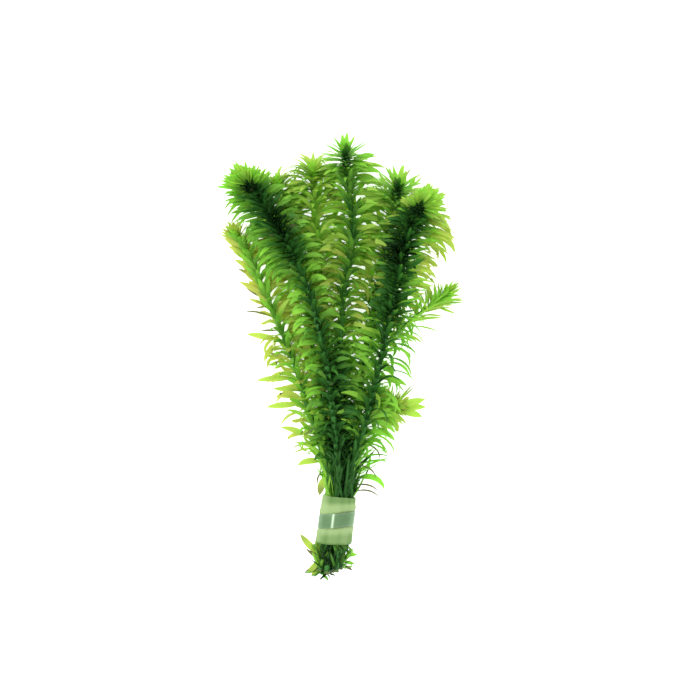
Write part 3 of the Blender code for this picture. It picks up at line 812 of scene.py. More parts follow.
def draw_leaf(bm, template, sections, width, thickness, twist, looks):
    """Adds a copy of the template, bent along the leaf's sections."""
    shade, foot_shade, foot_length, lighter, withered = looks
    first = len(bm.verts)
    bm.from_mesh(template)
    bm.verts.ensure_lookup_table()
    shade_layer = bm.verts.layers.float["shade"]
    withered_layer = bm.verts.layers.float["withered"]
    rows = []
    for number, (place, across, up) in enumerate(sections):
        t = number / LEAF_STEPS
        half_width = blade_width(t) * width / 2
        turned = across * math.cos(twist * t) + up * math.sin(twist * t)
        turned = level_on_floor(turned, place.z, half_width)
        normal = up
        if number:
            heading = (place - sections[number - 1][0]).normalized()
            normal = heading.cross(turned).normalized()
        rows.append((place, turned * half_width, normal, half_width))
    withered_from = mix(*WITHERED_FROM, withered * withered)
    for vert in bm.verts[first:]:
        u, t, through = vert.co
        place, sideways, normal, half_width = rows[round(t * LEAF_STEPS)]
        fold = BLADE_FOLD * (1 - t) * half_width * abs(u)
        thick = thickness * (1 - THINNER_EDGE * abs(u)) * (1 - THINNER_TIP * t)
        vert.co = place + sideways * u + normal * (fold + (through - 0.5) * thick)
        vert.co.z = max(vert.co.z, LOWEST)
        # Painted shade at the foot, where leaves crowd round the stem, then lighter to the tip
        at_foot = foot_shade * (1 - smoothstep(t / foot_length))
        vert[shade_layer] = min(max(shade * (1 - lighter * t), at_foot, 0.0), 1.0)
        vert[withered_layer] = withered * past(t, withered_from, WITHERED_OVER)


class Shoot:
    """One shoot: its stem, and the rules that its leaves follow."""

    def __init__(self, name, plan, stem):
        self.name = name
        self.plan = plan
        self.stem = stem
        self.base = 0.0 if stem.stub is None else stem.stub + WRAP_LENGTH

    def in_stub(self, distance):
        return self.stem.stub is not None and distance < self.stem.stub

    def above_wrap(self, distance, within):
        """0 at the wrap, 1 this far above it. A side shoot is never near it."""
        return 1.0 if self.stem.stub is None else past(distance, self.base, within)

    def joints(self, spacing):
        """Distances of the whorls from the lower end. None is inside the wrap but near its upper end."""
        found = []
        from_tip = FIRST_WHORL
        while from_tip < self.stem.length - LAST_WHORL:
            distance = self.stem.length - from_tip
            if self.in_stub(distance) or distance >= self.base - HIDDEN_FEET:
                found.append(distance)
            if distance < self.base:
                from_tip += STUB_SPACING
            else:
                old = past(from_tip, OLD_FROM, OLD_OVER)
                spread = mix(1.0, self.plan.old_spacing, old)
                spread *= mix(1.0, HEART_SPACING, self.in_heart(distance))
                grown = spacing * mix(self.plan.spacing, 1.0, old)
                from_tip += mix(TIP_SPACING, grown, smoothstep(from_tip / CLOSE_ZONE)) * spread
        return found

    def in_heart(self, distance):
        """1 inside the dark heart of a front shoot, 0 outside it."""
        if not self.plan.heart:
            return 0.0
        start, end = self.plan.heart[:2]
        over_start, over_end = HEART_FADES
        below_tip = (self.stem.length - distance) / MM
        return past(below_tip, start - over_start, over_start) * (1 - past(below_tip, end, over_end))

    def dark_side(self, distance, outward):
        """1 on a heart's dark side, which gets painted shade. At the crown it's the side that faces down the
        bunch.
        """
        if not self.plan.heart:
            return 0.0
        lean = math.radians(self.plan.heart[2])
        near_tip = 1 - past(self.stem.length - distance, TIP_FACES_TO, TIP_FACES_OVER)
        facing = math.cos(lean) * outward.z + math.sin(lean) * outward.x - near_tip * outward.y
        return self.in_heart(distance) * past(facing, DARK_FROM, DARK_OVER)

    def thinness(self, distance, outward):
        """1 for the thin leaves on one side of a stem, or on both, and 0 for all others."""
        if not self.plan.thin_side:
            return 0.0
        side, start, end, _ = self.plan.thin_side
        from_tip = self.stem.length - distance
        sideways = smoothstep(2 * side * outward.x) if side else 1.0
        return sideways * (1 - past(from_tip, end * MM, THIN_OVER)) * past(from_tip, start * MM, THIN_OVER)

    def growth(self, distance, outward):
        """Length, lift and curve of a leaf, from its place on the stem and the way it faces."""
        if self.in_stub(distance):
            height = smoothstep(distance / self.stem.stub)
            lowest = 1 - smoothstep(distance / STUB_LOWEST)
            length = mix(*STUB_LENGTHS, height) * mix(1.0, LOWEST_LENGTH, lowest)
            return length, mix(*STUB_LIFTS, height) * mix(1.0, LOWEST_LIFT, lowest), 0.0
        plan = self.plan
        from_tip = self.stem.length - distance
        on_top = facing_up(outward, *ON_TOP)
        in_heart = self.in_heart(distance)
        below_crown = past(from_tip, CROWN_END / 2, CROWN_END / 2)
        length, lift, curve = grown_leaf(from_tip)

        left_side = smoothstep(0.5 - outward.x)
        reaches = (plan.crown_reach, plan.top_reach, plan.lower_reach)
        crown, top, lower = (mix(right, left, left_side) for left, right in reaches)
        reach = mix(mix(crown, top, below_crown), lower, past(from_tip, plan.lower_from * MM, LOWER_OVER))
        length *= plan.vigour * mix(reach, min(reach, 1.0), facing_up(outward, *NOT_LONGER))
        lift *= mix(plan.crown_lift, 1.0, past(from_tip, CROWN_FROM, CROWN_END))

        opened = plan.open_crown * smoothstep(from_tip / MM) * (1 - below_crown)
        opened *= 1 - facing_up(outward, *UPPER_HALF)
        length = mix(length, OPEN_LENGTH, opened)
        cover = on_top * past(from_tip, CROWN_FROM, YOUNG_ZONE) * (1 - in_heart)
        lift = mix(lift, OPEN_LIFT, opened) * (mix(1.0, COVER_LIFT, cover) * plan.lift_share)
        lift = mix(lift, HEART_LIFT, in_heart * on_top)
        curve = mix(curve, OPEN_CURVE, opened) * mix(1.0, HEART_CURVE, in_heart * on_top)
        curve *= mix(1.0, THIN_CURVE, self.thinness(distance, outward)) * plan.curve_share
        if plan.upright_side:
            side, until, lift_share, curve_share = plan.upright_side
            upright = left_side if side < 0 else 1 - left_side
            upright *= 1 - past(from_tip / MM, until, UPRIGHT_OVER)
            lift *= mix(1.0, lift_share, upright)
            curve *= mix(1.0, curve_share, upright)

        point = self.stem.at(distance)[0]
        outer = smoothstep(0.5 + outward.x * math.copysign(1.0, point.x - WRAP_TOP.x))
        above = self.above_wrap(distance, mix(NECK_HEIGHT, OUTER_NECK_HEIGHT, outer))
        return length, mix(NECK_LIFT, lift, above), mix(NECK_CURVE, curve, above)

    def shades(self, distance, outward, chance):
        """Shade of a leaf's blade, and of its foot with how much of the blade that takes, painted shade
        included.
        """
        plan = self.plan
        from_tip = self.stem.length - distance
        point = self.stem.at(distance)[0]
        on_top = facing_up(outward, *DARK_TOP)
        blade = mix(plan.tip_shade, plan.shade, smoothstep(from_tip / YOUNG_ZONE))
        blade = mix(blade, plan.lower_shade, past(from_tip, LOWER_FROM * MM, LOWER_OVER))
        # Painted shade along the stem: on leaves on top of it, and in the middle of the crown
        foot = plan.axis_shade
        below_core = past(from_tip, CORE_BELOW_TIP, CORE_BELOW_TIP)
        blade = mix(blade, max(blade, foot), on_top * below_core)
        core = plan.core * hump(from_tip, CORE_BELOW_TIP, CORE_SPREAD)
        blade = mix(blade, CORE_SHADE, core * on_top) + chance.gauss(0, SHADE_SPREAD)
        foot = mix(foot, CORE_SHADE, core)
        foot_length = FOOT_LENGTH
        if self.in_stub(distance):
            # Painted shade: a darker band down the middle of the leaves below the wrap
            blade = mix(*STUB_SHADES, hump(point.x, STUB_BAND, STUB_BAND_WIDTH))
            blade += chance.gauss(0, SHADE_SPREAD * 2)
        elif self.stem.stub is not None:
            # Painted shade in the crowded middle of the neck and of the lower bunch
            middle = WRAP_TOP.x + NECK_LEAN * (point.y - WRAP_TOP.y)
            off = (point.x - middle) / MM + NECK_FACING * outward.x - NECK_MIDDLE
            inner = 1 - past(abs(off), *NECK_DARK)
            blade = mix(mix(*NECK_SHADES, inner), blade, self.above_wrap(distance, NECK_HEIGHT))
            blade = mix(blade, NECK_SHADES[1], inner * (1 - past(point.y / MM, *NECK_DARK_UP)))
        # Painted shade in the heart, on its dark side and at the feet, blackest a little below the tip
        if plan.heart:
            heart_foot, shade = plan.heart[3:]
            deep = self.in_heart(distance)
            shade = mix(shade, HEART_SHADE, max(hump(from_tip, BLACKEST_BELOW_TIP, BLACKEST_SPREAD), core))
            blade = mix(blade, shade, self.dark_side(distance, outward))
            foot = mix(foot, shade, deep)
            foot_length = mix(foot_length, heart_foot, deep)
        return blade, foot, foot_length

    def sections(self, crowd, distance, around, growth, flat_share, tied=True):
        """The sections of one leaf, marched out from the stem round whatever is in its way."""
        length, lift, curve = growth
        point, tangent, _, _ = self.stem.at(distance)
        outward = self.stem.outward(distance, around)
        across = tangent.cross(outward)
        heading = tangent * math.cos(lift) + outward * math.sin(lift)
        place = point + outward * (self.stem.radius(distance) * FOOT_DEPTH)
        step = length / LEAF_STEPS
        sections = []
        for number in range(LEAF_STEPS + 1):
            level = (across - heading * across.dot(heading)).normalized()
            flat = Vector((-heading.y, heading.x, 0))
            flat *= -1 if level.dot(flat) < TURNED_OVER else 1
            level = level.lerp(flat, flat_share * smoothstep(number / LEAF_STEPS * FLATTENS_SOONER))
            level = (level - heading * level.dot(heading)).normalized()
            sections.append((place.copy(), level, heading.cross(level)))
            share = (number + 0.5) / LEAF_STEPS
            heading = Quaternion(across, curve * (0.5 + share) / LEAF_STEPS) @ heading
            heading.z -= DROOP * share / LEAF_STEPS
            goal = crowd.push_away(place + heading.normalized() * step, self.name)
            if tied:
                goal = keep_in_tie(goal)
            heading = (goal - place).normalized()
            if goal.z < FLOOR_CLEARANCE:
                heading.z = 0
                heading = (heading + tangent * FLOOR_AHEAD).normalized()
                heading.z = min((FLOOR_CLEARANCE - place.z) / step, 0.0)
                heading.normalize()
            place = place + heading * step
            place.z = max(place.z, FLOOR_CLEARANCE)
        return sections

    def grow(self, crowd, template, settings, chance):
        """The whole shoot as a bmesh: its stem, then every whorl of leaves, then its single leaves."""
        plan = self.plan
        bm = bmesh.new()
        add_layers(bm)
        joints = self.joints(settings.whorl_spacing)
        # The stem takes the painted shade along its shoot's axis
        draw_stem(bm, self.stem, joints, max(STEM_SHADE, plan.axis_shade), chance)
        for number, distance in enumerate(joints):
            from_tip = self.stem.length - distance
            grown = smoothstep(from_tip / YOUNG_ZONE)
            neck = 1 - self.above_wrap(distance, NECK_HEIGHT)
            in_heart = self.in_heart(distance)
            crowded = in_heart > 0.5
            count = settings.leaves_in_whorl
            turn = math.pi / count * (number % 2) + chance.uniform(-TURN_SPREAD, TURN_SPREAD)
            count *= 2 if crowded else 1
            for side in range(count):
                around = turn + 2 * math.pi * side / count + math.radians(chance.gauss(0, ANGLE_SPREAD))
                outward = self.stem.outward(distance, around)
                dark = self.dark_side(distance, outward)
                thin = self.thinness(distance, outward)
                in_fan = from_tip / MM < plan.dense_fan and dark < 0.5
                short = crowded and side % 2 == 1 and not in_fan
                if thin and chance.random() < plan.thin_side[3] * thin:
                    continue
                length, lift, curve = self.growth(distance, outward)
                length *= chance.uniform(*LENGTH_SPREAD) * (SHORT_LEAF if short else 1.0)
                length *= mix(1.0, mix(DARK_TIP_LEAF, DARK_LEAF, grown), 0.0 if short else dark)
                lift += math.radians(chance.gauss(0, ANGLE_SPREAD + NECK_SPREAD * neck))
                curve *= chance.uniform(*CURVE_SPREAD)
                flat_share = chance.uniform(*plan.flat_share) * grown
                flat_share *= mix(1.0, NECK_FLAT, neck) * mix(1.0, THIN_FLAT, thin)
                sections = self.sections(crowd, distance, around, (length, lift, curve), flat_share)
                width = settings.leaf_width * mix(YOUNG_WIDTH, 1.0, grown) * mix(1.0, NECK_WIDTH, neck)
                width *= chance.uniform(*WIDTH_SPREAD) * mix(1.0, THIN_WIDTH, thin)
                width *= mix(1.0, HEART_WIDTH, in_heart * facing_up(outward, *UPPER_HALF))
                width *= mix(1.0, COVER_WIDTH, facing_up(outward, *ON_TOP) * grown)
                width *= mix(plan.crown_width, 1.0, grown) * plan.slim
                twist = math.radians(chance.gauss(0, TWIST_SPREAD)) * grown * (1 - neck)
                withered = WITHERED_LEAF if chance.random() < WITHERED_CHANCE else 0.0
                blade, foot, foot_length = self.shades(distance, outward, chance)
                # Short crowded leaves in a heart carry their foot's painted shade all along, and shaded tips
                # stay dark
                lighter = mix(LIGHTER_TIP, HEART_LIGHTER_TIP, max(neck, dark))
                looks = (max(blade, foot) if short else blade, foot, foot_length, lighter, withered)
                draw_leaf(bm, template, sections, width, settings.leaf_thickness, twist, looks)
        self.grow_strays(bm, crowd, template, settings)
        return bm

    def grow_strays(self, bm, crowd, template, settings):
        """The single leaves of this shoot that stand out of the others."""
        line = self.stem.line
        for foot, around, lift, curve, length, width, withered in STRAY_LEAVES.get(self.name, ()):
            nearest = min(range(len(line)), key=lambda i: abs(line[i].y - foot * MM))
            growth = (length * MM, math.radians(lift), math.radians(curve))
            distance = self.stem.along[nearest]
            sections = self.sections(crowd, distance, math.radians(around), growth, STRAY_FLAT, tied=False)
            shades = (self.plan.tip_shade + STRAY_SHADE, self.plan.axis_shade)
            looks = (*shades, FOOT_LENGTH, LIGHTER_TIP, withered)
            width *= settings.leaf_width
            draw_leaf(bm, template, sections, width, settings.leaf_thickness, 0.0, looks)


def grow_shoots(context, plans, seed):
    """Grows these shoots, each as a piece of its own."""
    settings = context.scene.waterweed_foliage
    materials = [stem_material(settings), leaf_material(settings)]
    stems = all_stems()
    crowd = Crowd(stems)
    template = leaf_template()
    chance = random.Random(seed)
    for name, plan in plans.items():
        bm = Shoot(name, plan, stems[name]).grow(crowd, template, settings, chance)
        node = f"shoot_{name}" if name in MAIN_SHOOTS else name
        add_piece(f"{name}_leaves", bm, materials, [node])
    bpy.data.meshes.remove(template)


# Materials


def feed(socket, value):
    """Gives a socket a plain value, or links it to the output of another node."""
    if isinstance(value, bpy.types.NodeSocket):
        socket.id_data.links.new(value, socket)
    else:
        socket.default_value = value


def set_sockets(node, **sockets):
    """Feeds a node's sockets by their names."""
    for name, value in sockets.items():
        feed(node.inputs[name.replace("_", " ").title().replace("Ior", "IOR")], value)
    return node


def add_node(material, kind, **sockets):
    """A shader node with its sockets set."""
    return set_sockets(material.node_tree.nodes.new(f"ShaderNode{kind}"), **sockets)


def new_material(name, **sockets):
    """A material with its Principled node, whose sockets are set, and its output."""
    material = bpy.data.materials.get(name) or bpy.data.materials.new(name)
    material.use_nodes = True
    material.node_tree.nodes.clear()
    skin = add_node(material, "BsdfPrincipled", **sockets)
    output = add_node(material, "OutputMaterial", surface=skin.outputs["BSDF"])
    return material, skin, output


def attribute(material, name):
    """A value that the mesh keeps at each of its points."""
    node = add_node(material, "Attribute")
    node.attribute_name = name
    return node.outputs["Fac"]


def pattern(material, kind="TexNoise", stretch=None, **sockets):
    """The first output of a texture on the piece's own coordinates, which may be stretched."""
    place = add_node(material, "TexCoord").outputs["Object"]
    if stretch:
        place = add_node(material, "Mapping", vector=place, scale=stretch).outputs["Vector"]
    return add_node(material, kind, vector=place, **sockets).outputs[0]


def calculated(material, operation, *values, clamp=False):
    """A Math node over sockets or numbers."""
    node = add_node(material, "Math")
    node.operation = operation
    node.use_clamp = clamp
    for socket, value in zip(node.inputs, values):
        feed(socket, value)
    return node.outputs["Value"]


def coloured(material, factor, first, second):
    """A mix of two colours or sockets by a factor socket."""
    node = add_node(material, "Mix")
    node.data_type = "RGBA"
    colours = {
        name: value if isinstance(value, bpy.types.NodeSocket) else (*value, 1.0)
        for name, value in (("a", first), ("b", second))
    }
    return set_sockets(node, factor=factor, **colours).outputs["Result"]


def ramp_of(material, factor, colours):
    """A colour ramp through these colours, each at its place."""
    node = add_node(material, "ValToRGB", fac=factor)
    ramp = node.color_ramp
    while len(ramp.elements) < len(colours):
        ramp.elements.new(0.5)
    for element, (place, colour) in zip(ramp.elements, colours):
        element.position = place
        element.color = (*(min(channel, BRIGHTEST) for channel in colour), 1.0)
    return node.outputs["Color"]


def roughen(material, skin, height, strength, distance):
    """Fine relief on the surface."""
    bump = add_node(material, "Bump", strength=strength, distance=distance, height=height)
    set_sockets(skin, normal=bump.outputs["Normal"])


def let_light_through(material, skin, output, colour, share):
    """Mixes in light of this colour that comes through from behind."""
    through = add_node(material, "BsdfTranslucent", color=colour)
    both = add_node(material, "MixShader", fac=share)
    for socket, shader in zip(both.inputs[1:], (skin, through)):
        feed(socket, shader.outputs["BSDF"])
    set_sockets(output, surface=both.outputs["Shader"])


def leaf_material(settings):
    """Thin leaf: light shows through it, its rib is paler, a few tips are brown, and its shade holds painted
    shade.
    """
    material, skin, output = new_material("waterweed_leaf", roughness=0.5, specular_ior_level=0.15)
    blotches = pattern(material, scale=260.0, detail=3.0, roughness=0.6)
    uneven = calculated(material, "MULTIPLY_ADD", blotches, LEAF_BLOTCHES, attribute(material, "shade"))
    uneven = calculated(material, "SUBTRACT", uneven, LEAF_BLOTCHES / 2, clamp=True)
    blade = add_node(material, "UVMap")
    blade.uv_map = "blade"
    across = add_node(material, "SeparateXYZ", vector=blade.outputs["UV"]).outputs["X"]
    off_rib = calculated(material, "ABSOLUTE", calculated(material, "SUBTRACT", across, 0.5), 0.0)
    off_rib = calculated(material, "MULTIPLY", off_rib, RIB_NARROWNESS)
    rib = calculated(material, "SUBTRACT", 1.0, off_rib, clamp=True)
    rib = calculated(material, "MULTIPLY", rib, RIB_PALENESS)
    withered = attribute(material, "withered")
    greens = (settings.yellow_green, settings.fresh_green, settings.dark_green, settings.heart_green)
    glows = [[channel * more for channel, more in zip(green, settings.glow)] for green in greens]
    looks = []
    for colours, brown in zip((greens, glows), WITHERED_LOOKS):
        # The shade attribute picks the green: the leaf's own colour and its painted shade alike
        colour = ramp_of(material, uneven, list(zip(SHADE_PLACES, colours)))
        colour = coloured(material, rib, colour, settings.fresh_green)
        looks.append(coloured(material, withered, colour, brown))
    surface, glow = looks
    set_sockets(skin, base_color=surface)
    roughen(material, skin, pattern(material, scale=2600.0, detail=2.0), 0.25, 0.1 * MM)
    let_light_through(material, skin, output, glow, LIGHT_THROUGH_LEAF)
    return material


def stem_material(settings):
    """Smooth juicy stem, uneven in its green, and darker where its shade holds painted shade."""
    material, skin, _ = new_material("waterweed_stem", roughness=0.5, specular_ior_level=0.25)
    streaks = pattern(material, stretch=(1.0, 0.25, 1.0), scale=420.0, detail=3.0)
    uneven = calculated(material, "MULTIPLY_ADD", streaks, STEM_STREAKS, attribute(material, "shade"))
    # The darkest green stands for old stem and for painted shade along front shoots
    old = settings.dark_green
    middle = tuple(mix(a, b, HALF_GROWN) for a, b in zip(YOUNG_STEM, old))
    colour = ramp_of(material, uneven, [(0.1, YOUNG_STEM), (0.5, middle), (0.95, old)])
    set_sockets(skin, base_color=coloured(material, attribute(material, "withered"), colour, CUT_END))
    roughen(material, skin, streaks, 0.3, 0.2 * MM)
    return material


def foam_material(settings):
    """Soft open foam with fine cells, which lets a little light and the green stems through."""
    material, skin, output = new_material("soft_foam", roughness=0.75)
    cells = pattern(material, "TexVoronoi", scale=1500.0)
    clouds = pattern(material, scale=190.0, detail=3.0)
    shaded = tuple(channel * SHADED_FOAM for channel in settings.foam_colour)
    colour = coloured(material, clouds, shaded, settings.foam_colour)
    colour = coloured(material, attribute(material, "tint"), colour, settings.tint_colour)
    set_sockets(skin, base_color=colour)
    roughen(material, skin, calculated(material, "ADD", cells, clouds), 0.5, 0.3 * MM)
    let_light_through(material, skin, output, colour, LIGHT_THROUGH_FOAM)
    return material


def metal_material(settings):
    """Soft grey metal, dull where it has weathered, with a painted highlight on its lapped end's lip and its
    edges.
    """
    material, skin, _ = new_material("weight_metal", metallic=0.85)
    tarnish = pattern(material, scale=240.0, detail=4.0, roughness=0.65)
    scratches = pattern(material, stretch=(0.15, 1.0, 0.15), scale=2200.0, detail=2.0)
    dull = tuple(channel * DULL_METAL for channel in settings.metal_colour)
    colour = coloured(material, tarnish, dull, settings.metal_colour)
    # Painted highlight on the lip of the lapped end and along the edges
    colour = coloured(material, attribute(material, "painted_highlight"), colour, HIGHLIGHT_METAL)
    least, more = METAL_ROUGHNESS
    set_sockets(skin, base_color=colour, roughness=calculated(material, "MULTIPLY_ADD", tarnish, more, least))
    scratches = calculated(material, "MULTIPLY", scratches, SCRATCH_DEPTH)
    roughen(material, skin, calculated(material, "ADD", tarnish, scratches), 0.35, 0.2 * MM)
    return material


def surface_material(settings):
    """Plain pale surface that gives a soft light of its own."""
    return new_material(
        "pale_surface", base_color=(0.9, 0.9, 0.9, 1.0), roughness=0.8, emission_color=(1.0, 1.0, 1.0, 1.0),
        emission_strength=settings.surface_glow,
    )[0]


# Wrap and strip


def wrap_point(angle, from_top, inset, slant):
    """A point this deep in the wrap, whose section is an ellipse flattened where it lies on the surface."""
    centre = WRAP_TOP + WRAP_AXIS * from_top
    half_width = mix(*WRAP_HALF_WIDTHS, smoothstep(from_top / WRAP_WIDENS_OVER)) - inset
    x = half_width * math.cos(angle)
    z = max((WRAP_HALF_HEIGHT - inset) * math.sin(angle), inset - centre.z)
    return centre + Vector((x, x * slant, z))


def groove(from_top):
    """How deep the weight strip presses the foam in, with the soft swelling at each side of it."""
    half = STRIP_WIDTH / 2
    off = abs(from_top - STRIP_FROM_TOP - half) - half
    pressed = (STRIP_THICKNESS + STRIP_GAP) * (1 - smoothstep((off + STRIP_GAP) / GROOVE_SIDE))
    return pressed - SWELLING * hump(off, SWELLING_AT, GROOVE_SIDE)


def slant_at(from_top):
    """How much the wrap leans across: along its upper end, the strip and its lower end."""
    middle = STRIP_FROM_TOP + STRIP_WIDTH / 2
    if from_top < middle:
        return mix(TOP_SLANT, STRIP_SLANT, smoothstep(from_top / STRAIGHT_BY))
    below = (from_top - middle - STRIP_WIDTH / 2) / (WRAP_LENGTH - middle - STRIP_WIDTH / 2)
    return mix(STRIP_SLANT, BOTTOM_SLANT, smoothstep(below))


def waves(around, size, along):
    """Smooth noise that closes on itself round the wrap."""
    return noise.noise(Vector((math.cos(around) * size, math.sin(around) * size, along)))


def showing_through(around, from_top):
    """How green the thin foam looks: the stems inside show near its ends, in soft streaks."""
    left = past(math.degrees(around % (2 * math.pi)), *TINT_LEFT_AT)
    upper = 1 - past(from_top / MM, *TINT_UPPER_AT)
    lower = past(from_top / MM, *TINT_LOWER_AT)
    end = smoothstep((from_top - WRAP_LENGTH + TINT_END) / TINT_END)
    near_ends = (upper * TINT_UPPER + lower * TINT_LOWER) * mix(1.0, TINT_LEFT, left)
    return max(near_ends, end) + waves(around, STREAKS_ROUND, from_top / MM * STREAKS_ALONG) * STREAK_TINT


def flat_sheet(grid, layer):
    """A sheet of this many cells that is still flat, and the layer for how it looks at each point."""
    bm = bmesh.new()
    looks = bm.verts.layers.float.new(layer)
    bmesh.ops.create_grid(bm, x_segments=grid[0], y_segments=grid[1], size=0.5)
    return bm, looks


def add_sheet(node, name, bm, thickness, material, smooth_below):
    """Turns a bent sheet's faces outwards, gives it its thickness inwards and adds it."""
    bmesh.ops.recalc_face_normals(bm, faces=bm.faces)
    centre = (WRAP_TOP + WRAP_BOTTOM) / 2
    face = bm.faces[:][0]
    if face.normal.dot(face.calc_center_median() - centre) < 0:
        bmesh.ops.reverse_faces(bm, faces=bm.faces)
    bmesh.ops.solidify(bm, geom=bm.faces[:], thickness=thickness)
    add_piece(name, bm, [material], [node], smooth_below)


def build_foam(material):
    """The foam sheet, bent round the stems until its ends meet."""
    bm, tint_layer = flat_sheet(WRAP_GRID, "tint")
    for vert in bm.verts:
        around = WRAP_START + (vert.co.x + 0.5) * (2 * math.pi - WRAP_SLIT)
        share = 0.5 - vert.co.y
        from_top = share * WRAP_LENGTH
        to_rim = min(min(share, 1 - share) * WRAP_LENGTH / RIM_RADIUS, 1)
        rounding = RIM_DEPTH * (1 - math.sqrt(max(0.0, 1 - (1 - to_rim) ** 2)))
        lumps = max(waves(around, LUMPS_ROUND, share * LUMPS_ALONG) * LUMP_DEPTH, -LUMP_HEIGHT)
        vert[tint_layer] = min(max(showing_through(around, from_top), 0.0), 1.0)
        vert.co = wrap_point(around, from_top, groove(from_top) + rounding + lumps, slant_at(from_top))
        vert.co.y += waves(around, WAVES_ROUND, WAVES_AT) * WAVE_HEIGHT
        vert.co.z = max(vert.co.z, LOWEST)
    add_sheet("foam_wrap", "foam_wrap_soft", bm, WRAP_WALL, material, 70)


def build_strip(material):
    """The metal strip, bent once round the foam, its rounded end lapped over its start."""
    bm, highlight_layer = flat_sheet(STRIP_GRID, "painted_highlight")
    for vert in bm.verts:
        turns = (vert.co.x + 0.5) * STRIP_TURNS
        around = STRIP_START + turns * 2 * math.pi
        share = vert.co.y + 0.5
        to_end = min(vert.co.x + 0.5, 0.5 - vert.co.x) * STRIP_LENGTH
        narrowing = STRIP_CORNER[0] * (1 - smoothstep(to_end / STRIP_CORNER[1]))
        down = mix(STRIP_WIDTH - narrowing, narrowing, share)
        lip = hump((1 - turns / STRIP_TURNS) * STRIP_LENGTH / MM, *LIP_AT)
        rise = past(turns, STRIP_RISES_AT, 1 - STRIP_RISES_AT) * (STRIP_THICKNESS + STRIP_GAP)
        rise += LIP_HEIGHT * lip
        dents = noise.noise(Vector((around * DENTS_ROUND, share * DENTS_ACROSS, DENTS_AT))) * DENT_DEPTH
        curl = EDGE_CURL * (2 * share - 1) ** 4
        # Painted highlight: full on the lip, faint along the edges
        vert[highlight_layer] = max(lip, EDGE_HIGHLIGHT * (2 * share - 1) ** 8)
        vert.co = wrap_point(around, STRIP_FROM_TOP + down, abs(dents) + curl - rise, STRIP_SLANT)
    add_sheet("weight_strip", "weight_strip_metal", bm, STRIP_WALL, material, 40)


# Operators


class WATERWEED_OT_add_main_shoots(bpy.types.Operator):
    """Adds the seven shoots that the wrap holds"""

    bl_idname = "waterweed.add_main_shoots"
    bl_label = "Add Main Shoots"

    def execute(self, context):
        grow_shoots(context, MAIN_SHOOTS, SEED)
        return {"FINISHED"}


class WATERWEED_OT_add_side_shoots(bpy.types.Operator):
    """Adds the side shoots that fork from the right front shoot"""

    bl_idname = "waterweed.add_side_shoots"
    bl_label = "Add Side Shoots"

    def execute(self, context):
        grow_shoots(context, SIDE_SHOOTS, SEED + 1)
        return {"FINISHED"}


class WATERWEED_OT_add_foam_wrap(bpy.types.Operator):
    """Adds the soft foam round the stems"""

    bl_idname = "waterweed.add_foam_wrap"
    bl_label = "Add Foam Wrap"

    def execute(self, context):
        build_foam(foam_material(context.scene.waterweed_wrap))
        return {"FINISHED"}


class WATERWEED_OT_add_weight_strip(bpy.types.Operator):
    """Adds the soft metal strip round the foam"""

    bl_idname = "waterweed.add_weight_strip"
    bl_label = "Add Weight Strip"

    def execute(self, context):
        build_strip(metal_material(context.scene.waterweed_wrap))
        return {"FINISHED"}


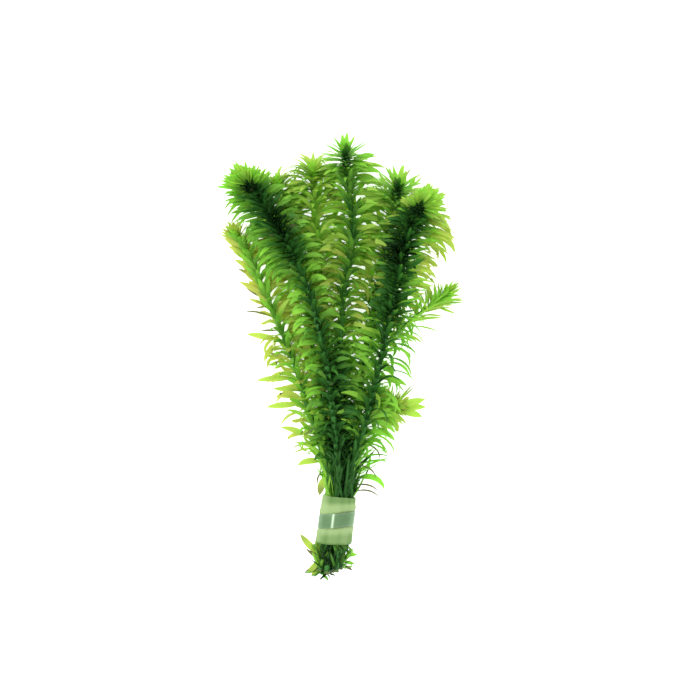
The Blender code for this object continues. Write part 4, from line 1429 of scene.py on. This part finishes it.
class WATERWEED_OT_set_stage(bpy.types.Operator):
    """Sets the pale surface, the soft light and the camera that looks down on the bunch"""

    bl_idname = "waterweed.set_stage"
    bl_label = "Set Stage"

    def execute(self, context):
        settings = context.scene.waterweed_stage
        bm = bmesh.new()
        bmesh.ops.create_grid(bm, x_segments=1, y_segments=1, size=SURFACE_HALF_WIDTH)
        surface = add_object("surface", mesh_of("surface", bm, [surface_material(settings)]))

        world = bpy.data.worlds.new("soft_sky")
        world.use_nodes = True
        set_sockets(
            world.node_tree.nodes["Background"], color=(1.0, 1.0, 1.0, 1.0), strength=settings.sky_strength
        )
        context.scene.world = world

        lamp = bpy.data.lights.new("soft_lamp", "AREA")
        lamp.size = LAMP_SIZE
        lamp.energy = LAMP_POWER
        lamp_object = add_object("soft_lamp", lamp)
        lamp_object.location = LAMP_PLACE
        lamp_object.rotation_euler = LAMP_PLACE.to_track_quat("Z", "Y").to_euler()

        camera = bpy.data.cameras.new("top_camera")
        camera.lens = settings.lens
        camera.clip_start = 0.01
        distance = settings.view_width * settings.lens / camera.sensor_width
        camera_object = add_object("top_camera", camera)
        camera_object.location = VIEW_MIDDLE + Vector((0, 0, distance))
        context.scene.camera = camera_object
        context.scene.view_settings.view_transform = "Standard"
        return {"FINISHED"}


class WATERWEED_PT_panel(bpy.types.Panel):
    """The operators and settings of the bunch"""

    bl_label = "Waterweed Bunch"
    bl_idname = "WATERWEED_PT_panel"
    bl_space_type = "VIEW_3D"
    bl_region_type = "UI"
    bl_category = "Waterweed"

    def draw(self, context):
        groups = (
            (context.scene.waterweed_foliage, (WATERWEED_OT_add_main_shoots, WATERWEED_OT_add_side_shoots)),
            (context.scene.waterweed_wrap, (WATERWEED_OT_add_foam_wrap, WATERWEED_OT_add_weight_strip)),
            (context.scene.waterweed_stage, (WATERWEED_OT_set_stage,)),
        )
        for settings, operators in groups:
            box = self.layout.box()
            for name in settings.bl_rna.properties.keys():
                if name not in ("rna_type", "name"):
                    box.prop(settings, name)
            for operator in operators:
                box.operator(operator.bl_idname)


SETTINGS = {
    "waterweed_foliage": FoliageSettings,
    "waterweed_wrap": WrapSettings,
    "waterweed_stage": StageSettings,
}
OPERATORS = (
    WATERWEED_OT_set_stage,
    WATERWEED_OT_add_main_shoots,
    WATERWEED_OT_add_side_shoots,
    WATERWEED_OT_add_foam_wrap,
    WATERWEED_OT_add_weight_strip,
)


def register():
    for name, group in SETTINGS.items():
        bpy.utils.register_class(group)
        setattr(bpy.types.Scene, name, PointerProperty(type=group))
    for operator in OPERATORS:
        bpy.utils.register_class(operator)
    bpy.utils.register_class(WATERWEED_PT_panel)


def unregister():
    bpy.utils.unregister_class(WATERWEED_PT_panel)
    for operator in reversed(OPERATORS):
        bpy.utils.unregister_class(operator)
    for name, group in SETTINGS.items():
        delattr(bpy.types.Scene, name)
        bpy.utils.unregister_class(group)


def main():
    register()
    bpy.ops.waterweed.set_stage()
    bpy.ops.waterweed.add_main_shoots()
    bpy.ops.waterweed.add_side_shoots()
    bpy.ops.waterweed.add_foam_wrap()
    bpy.ops.waterweed.add_weight_strip()


if __name__ == "__main__":
    main()
